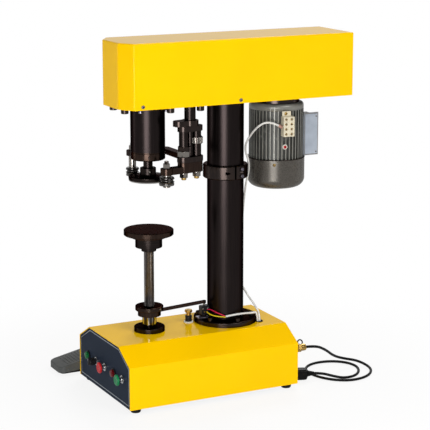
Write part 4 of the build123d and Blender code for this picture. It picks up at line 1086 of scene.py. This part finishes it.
@dataclass
class BaseUnit(SubAssembly):
    """Sheet base with its feet and what it hides."""

    length: float = 400.0
    bottom: float = 10.0
    hole_low: float = 120.0
    hole_reach: float = 70.0

    def build(self) -> None:
        """Fold the sheet and turn the feet."""
        def fold(middle: Vector) -> bool:
            """Edges of the shell away from its open end and its lower rim."""
            above = middle.x > -self.length / 2 + 3 and middle.z > self.bottom + 1
            return above and not self._hole(middle)

        shell = Form(Surface.YELLOW).node("base_housing", 0.5, 3.0, fold)
        shell.piece("base_shell", "frame", "yellow_paint", ["base_housing"], 20.0)
        feet = Form(Surface.RUBBER)
        profile = [(3.3, 10), (11.2, 10), (12, 9.2), (11.7, 6), (10.9, 5.6), (10.8, 4.6), (11.4, 4.2),
                   (10.2, 0.6), (9.5, 0), (6.4, 0), (6, 0.5), (6, 8), (3.3, 8), (3.3, 10)]
        for x, y in FOOT_PLACES:
            feet.lathe(profile, upright(x, y), steps=40)
        feet.piece("rubber_feet_moulded", "frame", "black_rubber", ["rubber_feet"])
        self.dress(Surface.GREY_PLATE, "bottom_plate")
        self.dress(Surface.BOX_GREY, "control_gear")
        self.dress(Surface.SPRING_STEEL, "return_springs")
        self.dress(Surface.BLACK_TURNED, "lift_magnet")

    def _hole(self, spot: Vector) -> bool:
        """Whether a point lies on the rim of a hole in the top."""
        inside = abs(spot.y) < self.hole_reach and abs(spot.x) < self.length / 2 - 4
        return inside and spot.z > self.hole_low


@dataclass
class ControlPanel(SubAssembly):
    """Panel film with its border, lamps, selector and push buttons."""

    front: float = -199.0
    row_z: float = 68.0
    pitch: float = 47.0
    middle_y: float = -6.0
    half_width: float = 138.0
    bottom: float = 10.0
    shoulder: float = 102.0
    half_top: float = 81.0
    top: float = 134.0
    shoulder_shrink: float = 0.586
    top_shrink: float = 0.27
    border: tuple[float, float] = (7.0, 8.3)

    def build(self) -> None:
        """Make the panel and its controls."""
        self._film()
        self._lamps()
        self._bodies()
        self._button("red_button", "stop_button", self.middle_y, Surface.RED_CAP, "red_plastic")
        self._button("green_button", "start_button", self.middle_y - 2 * self.pitch, Surface.GREEN_CAP,
                     "green_plastic")
        self._knob()

    def _outline(self, inset: float) -> list[tuple[float, float]]:
        """Corners of the base's end, set in.

        Args:
            inset: How far they lie inside the outline.

        Returns:
            The corners as Y and Z.
        """
        side, low, top = self.half_width - inset, self.bottom + inset, self.top - inset
        shoulder = self.shoulder - inset * self.shoulder_shrink
        half_top = self.half_top - inset * self.top_shrink
        return [(-side, low), (side, low), (side, shoulder), (half_top, top), (-half_top, top),
                (-side, shoulder)]

    def _film(self) -> None:
        """Panel plate with a thin printed border."""
        form = Form(Surface.PANEL).node("control_panel", 0.0)
        outer, inner = [self._outline(inset) for inset in self.border]
        index = form.number(Surface.PANEL_LINE)
        for i in range(6):
            j = (i + 1) % 6
            quad = [(self.front - 0.12, *p) for p in (outer[i], outer[j], inner[j], inner[i])]
            front = [form.bm.verts.new(p) for p in quad]
            back = [form.bm.verts.new((self.front + 0.2, p[1], p[2])) for p in quad]
            form.face(front, index)
            form.face(back[::-1], index)
            for a in range(4):
                b = (a + 1) % 4
                form.face((front[a], front[b], back[b], back[a]), index)
        form.piece("panel_film", "frame", "panel_paint", ["control_panel"])

    def _lamps(self) -> None:
        """Two signal lamps with ribbed lenses and black bezels."""
        form = Form(Surface.GREEN_LENS)
        for y, lens in ((self.middle_y + 2 * self.pitch, Surface.GREEN_LENS),
                        (self.middle_y - self.pitch, Surface.RED_LENS)):
            place = aim((self.front, y, self.row_z), (-1, 0, 0))
            form.lathe([(5.8, -33), (5.8, 0), (10, 0), (10.2, 0.6), (10.2, 2.4), (9.4, 3.2), (8.4, 3.2),
                        (8.4, 2.6), (0, 2.6), (0, -33), (5.8, -33)], place, Surface.BLACK_PLASTIC)
            dome = [(8.2, 2.7), (8.2, 5.6), (7.6, 6.2), (7.7, 6.8), (7.0, 7.3), (7.0, 7.8), (5.6, 8.5),
                    (3.0, 8.9), (0, 9)]
            form.lathe([(0, 2.7)] + dome, place, lens)
        form.piece("panel_lamps_fitted", "frame", "lamp_plastic", ["panel_lamps"])

    def _bodies(self) -> None:
        """Threaded bodies behind the panel with chrome collars in front."""
        form = Form(Surface.CHROME)
        for y in (self.middle_y + self.pitch, self.middle_y, self.middle_y - 2 * self.pitch):
            place = aim((self.front, y, self.row_z), (-1, 0, 0))
            form.lathe([(5.2, -3), (5.2, 5), (6.4, 5), (6.8, 4.6), (6.8, 3.4), (8.6, 2.9), (8.8, 2.2),
                        (8.8, 0.5), (8.4, 0), (5.8, 0), (5.8, -3), (5.2, -3)], place, Surface.CHROME)
            form.lathe([(5.2, -3.1), (9.6, -3.1), (10, -3.6), (10, -32.4), (9.4, -33), (0, -33), (0, -31),
                        (6.6, -31), (6.6, -6), (5.2, -6), (5.2, -3.1)], place, Surface.BLACK_PLASTIC)
        form.piece("button_collars", "frame", "black_plastic", ["button_bodies"])

    def _button(self, node: str, body: str, y: float, surface: Surface, slot: str) -> None:
        """Mushroom button on a bright stem.

        Args:
            node: The CAD node it stands for.
            body: The body that carries it.
            y: Its place along the panel.
            surface: The cap's finish.
            slot: The record's material slot.
        """
        place = aim((self.front, y, self.row_z), (-1, 0, 0))
        form = Form(surface)
        form.lathe([(0, 12.2), (9.8, 12.2), (11.4, 12.6), (12, 13.6), (12, 14.8), (11.4, 16.2), (10, 17),
                    (8.6, 17.2), (5, 16.6), (0, 16.3)], place)
        form.lathe([(0, -13.8), (5, -13.8), (5, 10.6), (5.6, 11), (5.6, 12.3), (0, 12.3)], place,
                   Surface.CHROME, 32)
        form.piece(node + "_cap", body, slot, [node])

    def _knob(self) -> None:
        """Selector with a raised pointer bar and a fluted skirt."""
        y = self.middle_y + self.pitch
        place = aim((self.front, y, self.row_z), (-1, 0, 0))
        form = Form(Surface.BLACK_PLASTIC)
        form.lathe([(0, -13.8), (5, -13.8), (5, 5.3), (7.6, 5.3), (8, 5.8), (8, 17), (7.2, 18.6),
                    (6, 19.3), (0, 19.3)], place)
        flutes = 16
        for i in range(flutes):
            flute = place @ Matrix.Rotation(2 * math.pi * i / flutes, 4, "Z")
            form.block((7.2, -0.6, 6.2), (8.1, 0.6, 15.5), 0.25, flute)
        bar = Matrix.Translation((self.front, y, self.row_z))
        form.block((-21.2, -2.4, -6.6), (-16.0, 2.4, 9.8), 0.9, bar)
        form.block((-21.35, -0.5, 2.0), (-21.0, 0.5, 8.6), 0.1, bar, Surface.PANEL_LINE)
        form.piece("selector_grip", "selector", "black_plastic", ["selector_knob"])


@dataclass
class ColumnUnit(SubAssembly):
    """Column with its flange and split collar."""

    collar_mid: float = 472.0
    screw_step: float = 7.5
    screw_place: tuple[float, float] = (107.5, -47.4)
    screw_side: Triple = (0.30, -0.95, 0.0)

    def build(self) -> None:
        """Finish the column."""
        self.dress(Surface.COLUMN_BLACK, "column")
        self.soften(Surface.BLACK_GROUND, "frame", "black_steel", 0.8, "column_flange", "column_collar")
        form = Form(Surface.SCREW_STEEL)
        for z in (self.collar_mid - self.screw_step, self.collar_mid + self.screw_step):
            form.screw(Drive.SOCKET, 3.6, 3.4, aim((*self.screw_place, z), self.screw_side))
        form.piece("collar_screws", "frame", "bright_steel")


@dataclass
class HeadUnit(SubAssembly):
    """Head cover, its plate and all the machine's screws."""

    bottom: float = 627.0
    half_width: float = 74.0
    cover_screws: tuple[float, ...] = (-135.0, 91.0)
    column_x: float = 92.0
    bolt_circle: float = 59.0
    flange_top: float = 145.0
    spindle_x: float = -92.0
    flange_ring: tuple[float, float] = (36.75, 46.0)

    def build(self) -> None:
        """Fold the cover and fit the screws."""
        def fold(middle: Vector) -> bool:
            """Edges of the cover above its lower rim."""
            return middle.z > self.bottom + 20

        shell = Form(Surface.YELLOW).node("head_cover", 0.4, 3.0, fold)
        shell.piece("head_shell", "frame", "yellow_paint", ["head_cover"], 20.0)
        self.soften(Surface.GREY_PLATE, "frame", "grey_plate", 0.6, "head_plate")
        self._screws()

    def _screws(self) -> None:
        """Every screw of the frame, with its shank."""
        form = Form(Surface.SCREW_STEEL)
        level = self.bottom + 7.0
        for x in self.cover_screws:
            for side in (-1.0, 1.0):
                place = aim((x, side * self.half_width, level), (0, side, 0))
                form.screw(Drive.CROSS, 4.0, 2.5, place)
                form.lathe([(0, -12), (2, -12), (2, 0), (0, 0)], place, steps=16)
        for x, y in FOOT_PLACES:
            form.screw(Drive.CROSS, 5.0, 3.0, aim((x, y, 8.0), (0, 0, -1)))
            form.lathe([(0, 8), (3, 8), (3, 17), (0, 17)], upright(x, y), steps=16)
        reach, top = self.bolt_circle, self.flange_top
        for i in range(6):
            turn = math.radians(60 * (i + 0.5))
            spot = (self.column_x + reach * math.cos(turn), reach * math.sin(turn))
            form.screw(Drive.SOCKET, 6.5, 8.0, upright(*spot, top), Surface.BLACK_GROUND)
            form.lathe([(0, -25), (4, -25), (4, 0), (0, 0)], upright(*spot, top), Surface.BLACK_GROUND, 16)
        side = self.half_width - 13.0
        for x, y in ((-157.0, -30.0), (-157.0, 30.0), (-67.0, -side), (-67.0, side), (2.0, -side)):
            form.screw(Drive.SOCKET, 8.0, 11.0, aim((x, y, self.bottom), (0, 0, -1)), Surface.BLACK_GROUND)
            form.lathe([(0, 0), (5, 0), (5, 13.8), (0, 13.8)], upright(x, y, self.bottom),
                       Surface.BLACK_GROUND, 20)
        reach = sum(self.flange_ring) / 2
        for i in range(4):
            turn = math.radians(45 + 90 * i)
            spot = (self.spindle_x + reach * math.cos(turn), reach * math.sin(turn))
            form.screw(Drive.SOCKET, 4.0, 5.0, aim((*spot, self.bottom - 8.0), (0, 0, -1)))
            form.lathe([(0, -8), (2.5, -8), (2.5, 12), (0, 12)], upright(*spot, self.bottom), steps=16)
        form.piece("screws_fitted", "frame", "bright_steel", ["machine_screws"])


@dataclass
class SpindleUnit(SubAssembly):
    """Spindle housing, its cap, the spindle and the chuck."""

    x: float = -92.0
    radius: float = 36.75
    cap_low: float = 511.0
    chuck_low: float = 465.0

    def build(self) -> None:
        """Turn the spindle's pieces."""
        self.soften(Surface.COLUMN_BLACK, "frame", "black_steel", 0.8, "spindle_housing")
        cap = Form(Surface.BROWN_STEEL)
        r = self.radius
        cap.lathe([(13.5, 0), (r - 2.6, 0), (r - 0.4, 1.6), (r, 2.4), (r, 15.2), (r - 0.6, 15.8),
                   (r - 0.6, 16.6), (r, 17.1), (r, 18), (13.5, 18), (13.5, 0)],
                  upright(self.x, 0, self.cap_low), steps=64)
        for i in range(3):
            turn = math.radians(250 + 120 * i)
            out = (math.cos(turn), math.sin(turn), 0)
            spot = (self.x + (r - 0.5) * out[0], (r - 0.5) * out[1], self.cap_low + 8.0)
            cap.screw(Drive.SOCKET, 2.6, 1.6, aim(spot, out), Surface.BLACK_GROUND)
        cap.piece("housing_cap_turned", "frame", "black_steel", ["housing_cap"])
        self.dress(Surface.BRIGHT_SHAFT, "spindle_bearings")
        self.dress(Surface.BLACK_TURNED, "spindle")
        self.dress(Surface.PULLEY, "spindle_pulley", "motor_pulley")
        self.dress(Surface.RUBBER, "drive_belt")
        self._chuck()

    def _chuck(self) -> None:
        """Chuck with a polished lip and a grub screw in its hub."""
        low = self.chuck_low
        form = Form(Surface.BLACK_TURNED)
        place = upright(self.x, 0, low)
        form.lathe([(0, 0.6), (30, 0.6), (31, 0), (40.4, 0)], place, steps=64)
        form.lathe([(40.4, 0), (41, 0.6), (41.2, 2.2)], place, Surface.BRIGHT_SHAFT, 64)
        form.lathe([(41.2, 2.2), (41.9, 7), (42, 8), (42, 9.4), (41.2, 10.2), (18.6, 12.6), (17, 14),
                    (17, 27.2), (16.2, 28), (10.2, 28), (10.2, 12), (0, 12)], place, steps=64)
        grub = aim((self.x - 4.0, -16.4, low + 21), (-0.24, -0.97, 0))
        form.screw(Drive.SOCKET, 2.4, 1.0, grub, Surface.NUT_STEEL)
        form.piece("chuck_turned", "spindle_unit", "bright_steel", ["chuck"])


@dataclass
class SeamingArms(SubAssembly):
    """Rocking shaft, plates, posts, arms, nuts and rollers."""

    pivot_x: float = -18.0
    pivot_y: float = -52.0
    turn: float = 9.5
    spacing: float = 33.0
    first: tuple[float, float] = (-98.0, 68.0)
    second: tuple[float, float] = (-78.0, -63.0)
    roller_low: float = 464.0
    roller_top: float = 482.0
    arm_low: float = 486.0
    arm_top: float = 508.0
    post_tip: float = 470.0
    post_top: float = 585.0
    first_nut: float = 520.0
    second_nut: float = 500.0

    def build(self) -> None:
        """Finish the swinging pieces."""
        self.dress(Surface.BLACK_TURNED, "rocker_shaft")
        self.dress(Surface.PULLEY, "feed_gearmotor")
        self.soften(Surface.BLACK_GROUND, "swing", "black_steel", 1.0, "rocker_plates", "first_arm")
        self.soften(Surface.BROWN_STEEL, "swing", "black_steel", 1.2, "second_arm")
        self._posts()
        self._spacer()
        self._fasteners()
        self._roller("first_roller", "roller_one", self.first, 14.0)
        self._roller("second_roller", "roller_two", self.second, 16.0)

    def _places(self) -> list[tuple[float, float]]:
        """Where the posts stand.

        Returns:
            Centres of the left and the right post.
        """
        c, s = math.cos(math.radians(self.turn)), math.sin(math.radians(self.turn))
        half = self.spacing / 2
        return [(self.pivot_x + side * c * half, self.pivot_y + side * s * half) for side in (-1, 1)]

    def _posts(self) -> None:
        """Two posts with threaded lower ends and brass tips."""
        form = Form(Surface.BLACK_TURNED)
        low, top, tip = self.arm_top, self.post_top, self.post_tip
        for x, y in self._places():
            place = upright(x, y)
            form.lathe([(0, low), (9.6, low), (10, low + 0.5), (10, top - 0.5), (9.6, top), (0, top)], place)
            form.thread(6.0, 0.5, tip + 4.5, low + 0.3, 1.5, place, Surface.NUT_STEEL, 24)
            form.lathe([(0, tip), (4.4, tip), (5.4, tip + 0.9), (5.6, tip + 4.8), (0, tip + 4.8)], place,
                       Surface.BRASS, 32)
        form.piece("arm_posts_threaded", "swing", "bright_steel", ["arm_posts"])

    def _spacer(self) -> None:
        """Turned rod between the plates and the arms, with a waist."""
        form = Form(Surface.BLACK_TURNED)
        form.lathe([(0, 0.2), (5.8, 0.2), (6.2, 0.8), (6.2, 20), (5.4, 21), (5.4, 26), (6.2, 27), (6.2, 52.2),
                    (5.8, 52.8), (0, 52.8)], upright(self.pivot_x, self.pivot_y, self.first_nut), steps=36)
        form.piece("rocker_spacer", "swing", "bright_steel")

    def _fasteners(self) -> None:
        """Roller pins, nuts, the lock nut and the knurled thumb nut."""
        form = Form(Surface.NUT_STEEL)
        pins = ((self.first, self.arm_top, self.first_nut), (self.second, self.arm_low, self.second_nut))
        foot, cover = self.roller_low - 0.3, self.roller_top + 0.3
        for (x, y), seat, over in pins:
            place = upright(x, y)
            form.lathe([(0, foot - 4), (7.2, foot - 4), (8, foot - 3.2), (8, foot), (5, foot), (5, cover),
                        (8, cover), (8, seat - 0.6), (7.4, seat), (5, seat), (5, over + 10), (0, over + 10)],
                       place, steps=36)
            form.thread(4.9, 0.45, over + 8.0, over + 15.6, 1.2, place, Surface.THREAD_STEEL, 24)
            form.nut(8.0, 10.0, upright(x, y, over))
        for x, y in self._places():
            form.nut(9.5, 8.4, upright(x, y, self.arm_low - 10.6))
            washer = [(6.2, 0), (9.4, 0), (9.4, 2.1), (6.2, 2.1), (6.2, 0)]
            form.lathe(washer, upright(x, y, self.arm_low - 2.2), steps=36)
        left, right = self._places()
        form.nut(14.0, 12.0, upright(*left, self.first_nut))
        form.nut(13.6, 9.4, upright(*left, self.first_nut + 12.4), Surface.BLACK_GROUND)
        thumb = upright(*right, self.first_nut + 25.0)
        form.lathe([(10.2, 0), (11.6, 0), (12.2, 0.8), (12.2, 15.2), (11.6, 16), (10.2, 16), (10.2, 0)],
                   thumb, Surface.BLACK_GROUND)
        flutes = 14
        for i in range(flutes):
            flute = thumb @ Matrix.Rotation(2 * math.pi * i / flutes, 4, "Z")
            form.block((11.6, -1.5, 1.4), (13.6, 1.5, 14.6), 0.6, flute)
        form.piece("arm_fasteners_fitted", "swing", "bright_steel", ["arm_fasteners"])

    def _roller(self, node: str, body: str, spot: tuple[float, float], radius: float) -> None:
        """Hardened roller with its seaming groove.

        Args:
            node: The CAD node it stands for.
            body: The body that carries it.
            spot: Its centre in plan.
            radius: Its rim radius.
        """
        r, high, bore = radius, self.roller_top - self.roller_low, 5.05
        place = upright(*spot, self.roller_low)
        groove = []
        for i in range(9):
            angle = math.pi * (0.5 - i / 8) * 0.9
            groove.append((r + 1.1 - 3.1 * math.cos(angle), 11.0 - 3.1 * math.sin(angle)))
        form = Form(Surface.ROLLER_STEEL)
        form.lathe([(bore, high), (bore, 0), (9, 0), (9.6, 0.8), (r - 2.6, 0.8), (r - 1.6, 0)], place)
        # Painted highlight: the lower rim is a brighter band of steel.
        form.lathe([(r - 1.6, 0), (r - 0.4, 0.3), (r, 1.2), (r, 4.2), (r - 0.9, 4.8)], place,
                   Surface.RIM_HIGHLIGHT_STEEL)
        form.lathe([(r - 0.9, 4.8), (r - 0.9, 6.0), (r, 6.6)] + groove
                   + [(r, 15.4), (r, 16.8), (r - 1.2, high), (bore, high)], place)
        form.piece(node + "_turned", body, "bright_steel", [node])


@dataclass
class MotorUnit(SubAssembly):
    """Finned motor with its cowl, capacitor box, terminals and small screws."""

    x: float = 217.0
    radius: float = 60.0
    low: float = 489.0
    fins_top: float = 600.0
    bell_top: float = 615.0
    cowl_radius: float = 63.0
    cowl_top: float = 493.0
    box_low: float = 494.0
    box_top: float = 581.0
    box_half: float = 25.0
    box_end: float = 307.15
    block_top: float = 590.0
    block_tall: float = 43.0
    block_half: float = 12.5
    block_turn: float = -7.5
    sleeve_place: Triple = (194.6, -66.0, 566.8)
    sleeve_side: Triple = (-0.868, 0.0, 0.497)
    earth_turn: float = -10.0
    earth_z: float = 522.0

    def build(self) -> None:
        """Finish the motor."""
        body = Form(Surface.MOTOR_PAINT).node("motor_housing", 0.5)
        # Painted shade: the neck under the head plate takes the dark ground finish.
        body.tint(Surface.BLACK_GROUND, self._in_neck_shade)
        # Painted shade: the grooves between the fins take a darker paint.
        body.tint(Surface.FIN_SHADE, self._between_fins)
        body.piece("motor_body", "frame", "motor_paint", ["motor_housing"], 28.0)
        self.dress(Surface.BRIGHT_SHAFT, "motor_rotor")
        self.dress(Surface.BLACK_PLASTIC, "motor_fan")
        self._cowl()
        self._capacitor()
        self._terminals()

    def _in_neck_shade(self, middle: Vector) -> bool:
        """Whether a face lies above the bell, on the neck that takes painted shade."""
        return middle.z > self.bell_top + 0.2

    def _between_fins(self, middle: Vector) -> bool:
        """Whether a face lies in a groove between the fins, where painted shade darkens it."""
        reach = math.hypot(middle.x - self.x, middle.y)
        return self.low < middle.z < self.fins_top and reach < self.radius - 1.6

    def _cowl(self) -> None:
        """Fan cowl with a rolled rim and its screws; the rim's dark finish is painted shadow of the seam over
        the fins.
        """
        form = Form(Surface.COWL_PAINT).node("motor_cowl", 0.35)
        # Painted shadow: the rolled rim takes the dark ground finish to stand for the shaded gap over the
        # fins.
        rim = []
        for i in range(13):
            angle = i * math.pi / 6
            out, up = 0.9 * math.cos(angle), 0.9 * math.sin(angle)
            rim.append((self.cowl_radius - 0.4 + out, self.cowl_top - 0.6 + up))
        form.lathe(rim, upright(self.x, 0), Surface.BLACK_GROUND, 96)
        for turn in (-122.0, -2.0, 118.0):
            out = (math.cos(math.radians(turn)), math.sin(math.radians(turn)), 0)
            reach = self.cowl_radius - 0.2
            spot = (self.x + reach * out[0], reach * out[1], self.low - 6.0)
            form.screw(Drive.CROSS, 3.3, 2.0, aim(spot, out), Surface.BRASS)
        form.piece("fan_cowl", "frame", "motor_paint", ["motor_cowl"])

    def _capacitor(self) -> None:
        """Capacitor box with thin darker rims and lid screws."""
        form = Form(Surface.BOX_GREY).node("capacitor_box", 1.2)
        half, end = self.box_half + 0.4, self.box_end + 0.3
        reach = self.radius + 0.5
        widest = math.asin(half / reach)
        plan = [(self.x + reach * math.cos(widest), -half), (end, -half), (end, half)]
        for i in range(9):
            angle = widest * (1 - i / 4)
            plan.append((self.x + reach * math.cos(angle), reach * math.sin(angle)))
        for low in (self.box_low - 0.3, self.box_top - 1.5):
            form.prism(plan[:-1], low, low + 1.8, 0.5, None, Surface.BOX_EDGE)
        left, lid = self.x + 55.6, -self.box_half
        low, top = self.box_low, self.box_top
        form.block((left, lid - 1.6, low - 1.5), (end + 1.2, lid + 0.6, top + 6.5), 0.7, None,
                   Surface.BOX_EDGE)
        form.block((left + 2.0, lid - 2.8, low + 1.4), (end - 1.6, lid - 1.2, top + 3.4), 0.7)
        for z in (low + 6, top - 2):
            place = aim((self.box_end - 5, lid - 2.6, z), (0, -1, 0))
            form.screw(Drive.CROSS, 1.8, 1.0, place, Surface.NUT_STEEL)
        form.piece("capacitor_case", "frame", "grey_plastic", ["capacitor_box"])

    def _terminals(self) -> None:
        """Terminal strip with its screws, its tab, the wire's sleeve and the earth screw."""
        turn = upright(self.x, 0) @ Matrix.Rotation(math.radians(self.block_turn), 4, "Z")
        form = Form(Surface.CREAM).node("terminal_block", 0.5)
        front, top = -self.radius - 17.15, self.block_top
        for row in range(4):
            z = top - self.block_tall * (row + 0.5) / 4
            for side in (-self.block_half / 2, self.block_half / 2):
                seat = turn @ aim((side, front + 4.9, z), (0, -1, 0))
                form.screw(Drive.CROSS, 2.1, 2.4, seat, Surface.BRASS)
            if row:
                edge = top - self.block_tall * row / 4
                wide = self.block_half + 0.2
                form.block((-wide, front - 0.4, edge - 0.7), (wide, front + 3, edge + 0.7), 0.3, turn)
        form.block((-12.0, -self.radius - 7.0, top), (8.0, -self.radius - 4.6, top + 11.0), 0.6, turn)
        seat = turn @ aim((-4.0, -self.radius - 7.0, top + 6.0), (0, -1, 0))
        form.screw(Drive.CROSS, 3.4, 2.4, seat, Surface.BRASS)
        form.lathe([(2.3, 0), (3.4, 0), (3.6, 1.0), (3.2, 9.0), (2.3, 9.6), (2.3, 0)],
                   aim(self.sleeve_place, self.sleeve_side), Surface.SLEEVE_PINK, 24)
        form.piece("terminal_strip", "frame", "cream_plastic", ["terminal_block"])
        earth = Form(Surface.WASHER_WHITE)
        side, reach = math.radians(self.earth_turn), self.radius - 0.4
        out = (math.sin(side), -math.cos(side), 0)
        spot = (self.x + reach * out[0], reach * out[1], self.earth_z)
        earth.lathe([(0, -1.5), (5.6, -1.5), (5.6, 0.8), (5.0, 1.2), (0, 1.2)], aim(spot, out), steps=32)
        earth.screw(Drive.CROSS, 3.4, 2.2, aim(Vector(spot) + Vector(out) * 1.1, out), Surface.RED_CAP)
        earth.piece("motor_earth_screw", "frame", "motor_paint")


@dataclass
class CanLift(SubAssembly):
    """Guide, lifting shaft, collar, height screw, hub and tray."""

    x: float = -92.0
    screw_low: float = 140.0
    screw_top: float = 336.0
    tray_low: float = 341.15
    tray_high: float = 17.5
    grub_reach: float = 29.9
    grub_z: float = 185.0

    def build(self) -> None:
        """Turn the lift's pieces."""
        self.soften(Surface.BLACK_TURNED, "frame", "black_steel", 0.6, "lift_guide")
        self.dress(Surface.SHAFT_STEEL, "lift_shaft")
        self.dress(Surface.BRIGHT_SHAFT, "tray_bearing")
        self.soften(Surface.BROWN_STEEL, "lift", "black_steel", 0.7, "lift_collar", "trip_arm")
        self.soften(Surface.BLACK_TURNED, "height", "black_steel", 0.9, "tray_hub")
        place = upright(self.x, 0)
        rod = Form(Surface.SCREW_ROD)
        rod.thread(11.0, 0.45, self.screw_low, self.screw_top, 2.2, place, steps=48)
        rod.piece("height_screw_cut", "height", "bright_steel", ["height_screw"])
        self._tray()
        marks = Form(Surface.NUT_STEEL)
        for turn in (-115.0, -62.0):
            out = (math.cos(math.radians(turn)), math.sin(math.radians(turn)), 0)
            spot = (self.x + self.grub_reach * out[0], self.grub_reach * out[1], self.grub_z)
            marks.screw(Drive.SOCKET, 2.6, 1.0, aim(spot, out))
        marks.piece("collar_grub_screws", "lift", "bright_steel")

    def _tray(self) -> None:
        """Tray with a stepped underside and turned rings on top."""
        form = Form(Surface.BROWN_STEEL)
        place, top = upright(self.x, 0, self.tray_low), self.tray_high
        rings = []
        for radius in (50.0, 40.0, 30.0, 20.0, 10.0):
            rings += [(radius, top), (radius - 0.5, top - 0.35), (radius - 1.0, top)]
        form.lathe([(17.1, 0), (37.4, 0), (38, 0.65), (38, 6), (52.4, 6), (53.5, 7.05), (53.5, top - 1.05),
                    (52.4, top)] + rings + [(0, top)], place, steps=72)
        form.lathe([(17.1, 0), (17.1, 11.25), (0, 11.25)], place, steps=72)
        form.piece("tray_turned", "tray_unit", "black_steel", ["tray"])


@dataclass
class SmallFittings(SubAssembly):
    """Limit switch with its bracket, and the earthing post on the base."""

    switch_x: float = 41.0
    switch_y: float = 1.5
    switch_low: float = 153.0
    post_x: float = 10.0
    post_y: float = 17.0
    base_top: float = 134.0
    contacts: tuple[tuple[float, float], ...] = ((46.0, 164.0), (44.0, 159.0), (38.0, 159.0))

    def build(self) -> None:
        """Finish the small pieces."""
        bracket = Form(Surface.BLACK_GROUND).node("switch_bracket", 0.4)
        bracket.tint(Surface.SCREW_STEEL, self._on_foot)
        bracket.piece("switch_bracket_bent", "frame", "grey_plate", ["switch_bracket"])
        form = Form(Surface.BLACK_PLASTIC).node("micro_switch", 0.6)
        front = self.switch_y - 6.0
        for side in (-5.5, 5.5):
            place = aim((self.switch_x + side, front, self.switch_low + 12.5), (0, -1, 0))
            form.screw(Drive.CROSS, 2.2, 1.2, place, Surface.NUT_STEEL)
        for x, z in self.contacts:
            form.block((x - 1.4, front - 1.2, z - 1.4), (x + 1.4, front + 0.4, z + 1.4), 0.2, None,
                       Surface.BRASS)
        form.piece("micro_switch_fitted", "frame", "black_plastic", ["micro_switch"])
        self.dress(Surface.NUT_STEEL, "switch_plunger")
        self._post()

    def _on_foot(self, middle: Vector) -> bool:
        """Whether a face lies on the bracket's foot."""
        return middle.z < self.switch_low - 2.9

    def _post(self) -> None:
        """Earthing post: white washer, black body and a knurled brass thumb screw."""
        place = upright(self.post_x, self.post_y, self.base_top)
        base = Form(Surface.BLACK_PLASTIC)
        washer = [(2.7, 0), (10.5, 0), (10.5, 2.2), (9.8, 3), (2.7, 3), (2.7, 0)]
        base.lathe(washer, place, Surface.WASHER_WHITE)
        base.lathe([(2.7, 3), (7.5, 3), (7.5, 8), (6.9, 8.6), (6.9, 10), (7.5, 10.6), (7.5, 15.4), (6.9, 16),
                    (2.7, 16), (2.7, 3)], place)
        base.piece("earth_post_body", "frame", "black_plastic", ["earth_post_base"])
        screw = Form(Surface.BRASS)
        screw.lathe([(0, -8), (2.5, -8), (2.5, 16), (5, 16), (5, 22.2), (4.2, 23), (7.4, 23), (8, 23.8),
                     (8, 28.2), (7.4, 29), (3, 29), (2.4, 28.2), (0, 28.2)], place)
        knurls = 24
        for i in range(knurls):
            flute = place @ Matrix.Rotation(2 * math.pi * i / knurls, 4, "Z")
            screw.block((7.5, -0.5, 23.9), (8.3, 0.5, 28.1), 0.2, flute)
        screw.piece("earth_post_thumb_screw", "frame", "brass", ["earth_post_screw"])


@dataclass
class FootSwitch(SubAssembly):
    """Foot switch with its ribbed treadle."""

    x0: float = -232.0
    y0: float = 178.0
    length: float = 100.0
    width: float = 72.0
    toe: float = 16.0
    heel: float = 37.0
    top_ribs: int = 9
    top_start: float = 22.0
    top_pitch: float = 7.5
    side_ribs: int = 11
    side_start: float = 14.0
    side_pitch: float = 7.0

    def build(self) -> None:
        """Finish the treadle and its base."""
        def fold(middle: Vector) -> bool:
            """Edges of the sloping top."""
            level = self.toe + (self.heel - self.toe) * (middle.x - self.x0) / self.length
            return middle.z > level - 1.0

        form = Form(Surface.PEDAL_GREY).node("pedal_cover", 0.4, 2.4, fold)
        slope = math.atan2(self.heel - self.toe, self.length)
        top = upright(self.x0, self.y0 + self.width / 2, self.toe) @ Matrix.Rotation(-slope, 4, "Y")
        for i in range(self.top_ribs):
            x = self.top_start + i * self.top_pitch
            form.block((x, -self.width / 2 + 11, -0.4), (x + 3.0, self.width / 2 - 11, 0.9), 0.4, top)
        form.screw(Drive.CROSS, 2.2, 1.2, aim((self.x0 + 52.0, self.y0, 13.0), (0, -1, 0)), Surface.BRASS)
        for i in range(self.side_ribs):
            x = self.x0 + self.side_start + i * self.side_pitch
            form.block((x, self.y0 - 0.5, 10.0), (x + 2.4, self.y0 + 0.6, 15.5), 0.3)
        form.piece("treadle_ribbed", "treadle", "pedal_plastic", ["pedal_cover"])
        self.soften(Surface.RUBBER, "frame", "pedal_plastic", 0.8, "pedal_base")


def main() -> None:
    """Build the stage and every sub-assembly in order, and log each one."""
    logging.basicConfig(level=logging.INFO, format="%(name)s: %(message)s")
    Stage().build()
    assemblies: list[SubAssembly] = [
        MainsLead(), Wiring(), BaseUnit(), ControlPanel(), ColumnUnit(), HeadUnit(), SpindleUnit(),
        SeamingArms(), MotorUnit(), CanLift(), SmallFittings(), FootSwitch()]
    for assembly in assemblies:
        assembly.build()
        LOG.info("%s built", type(assembly).__name__)


if __name__ == "__main__":
    main()
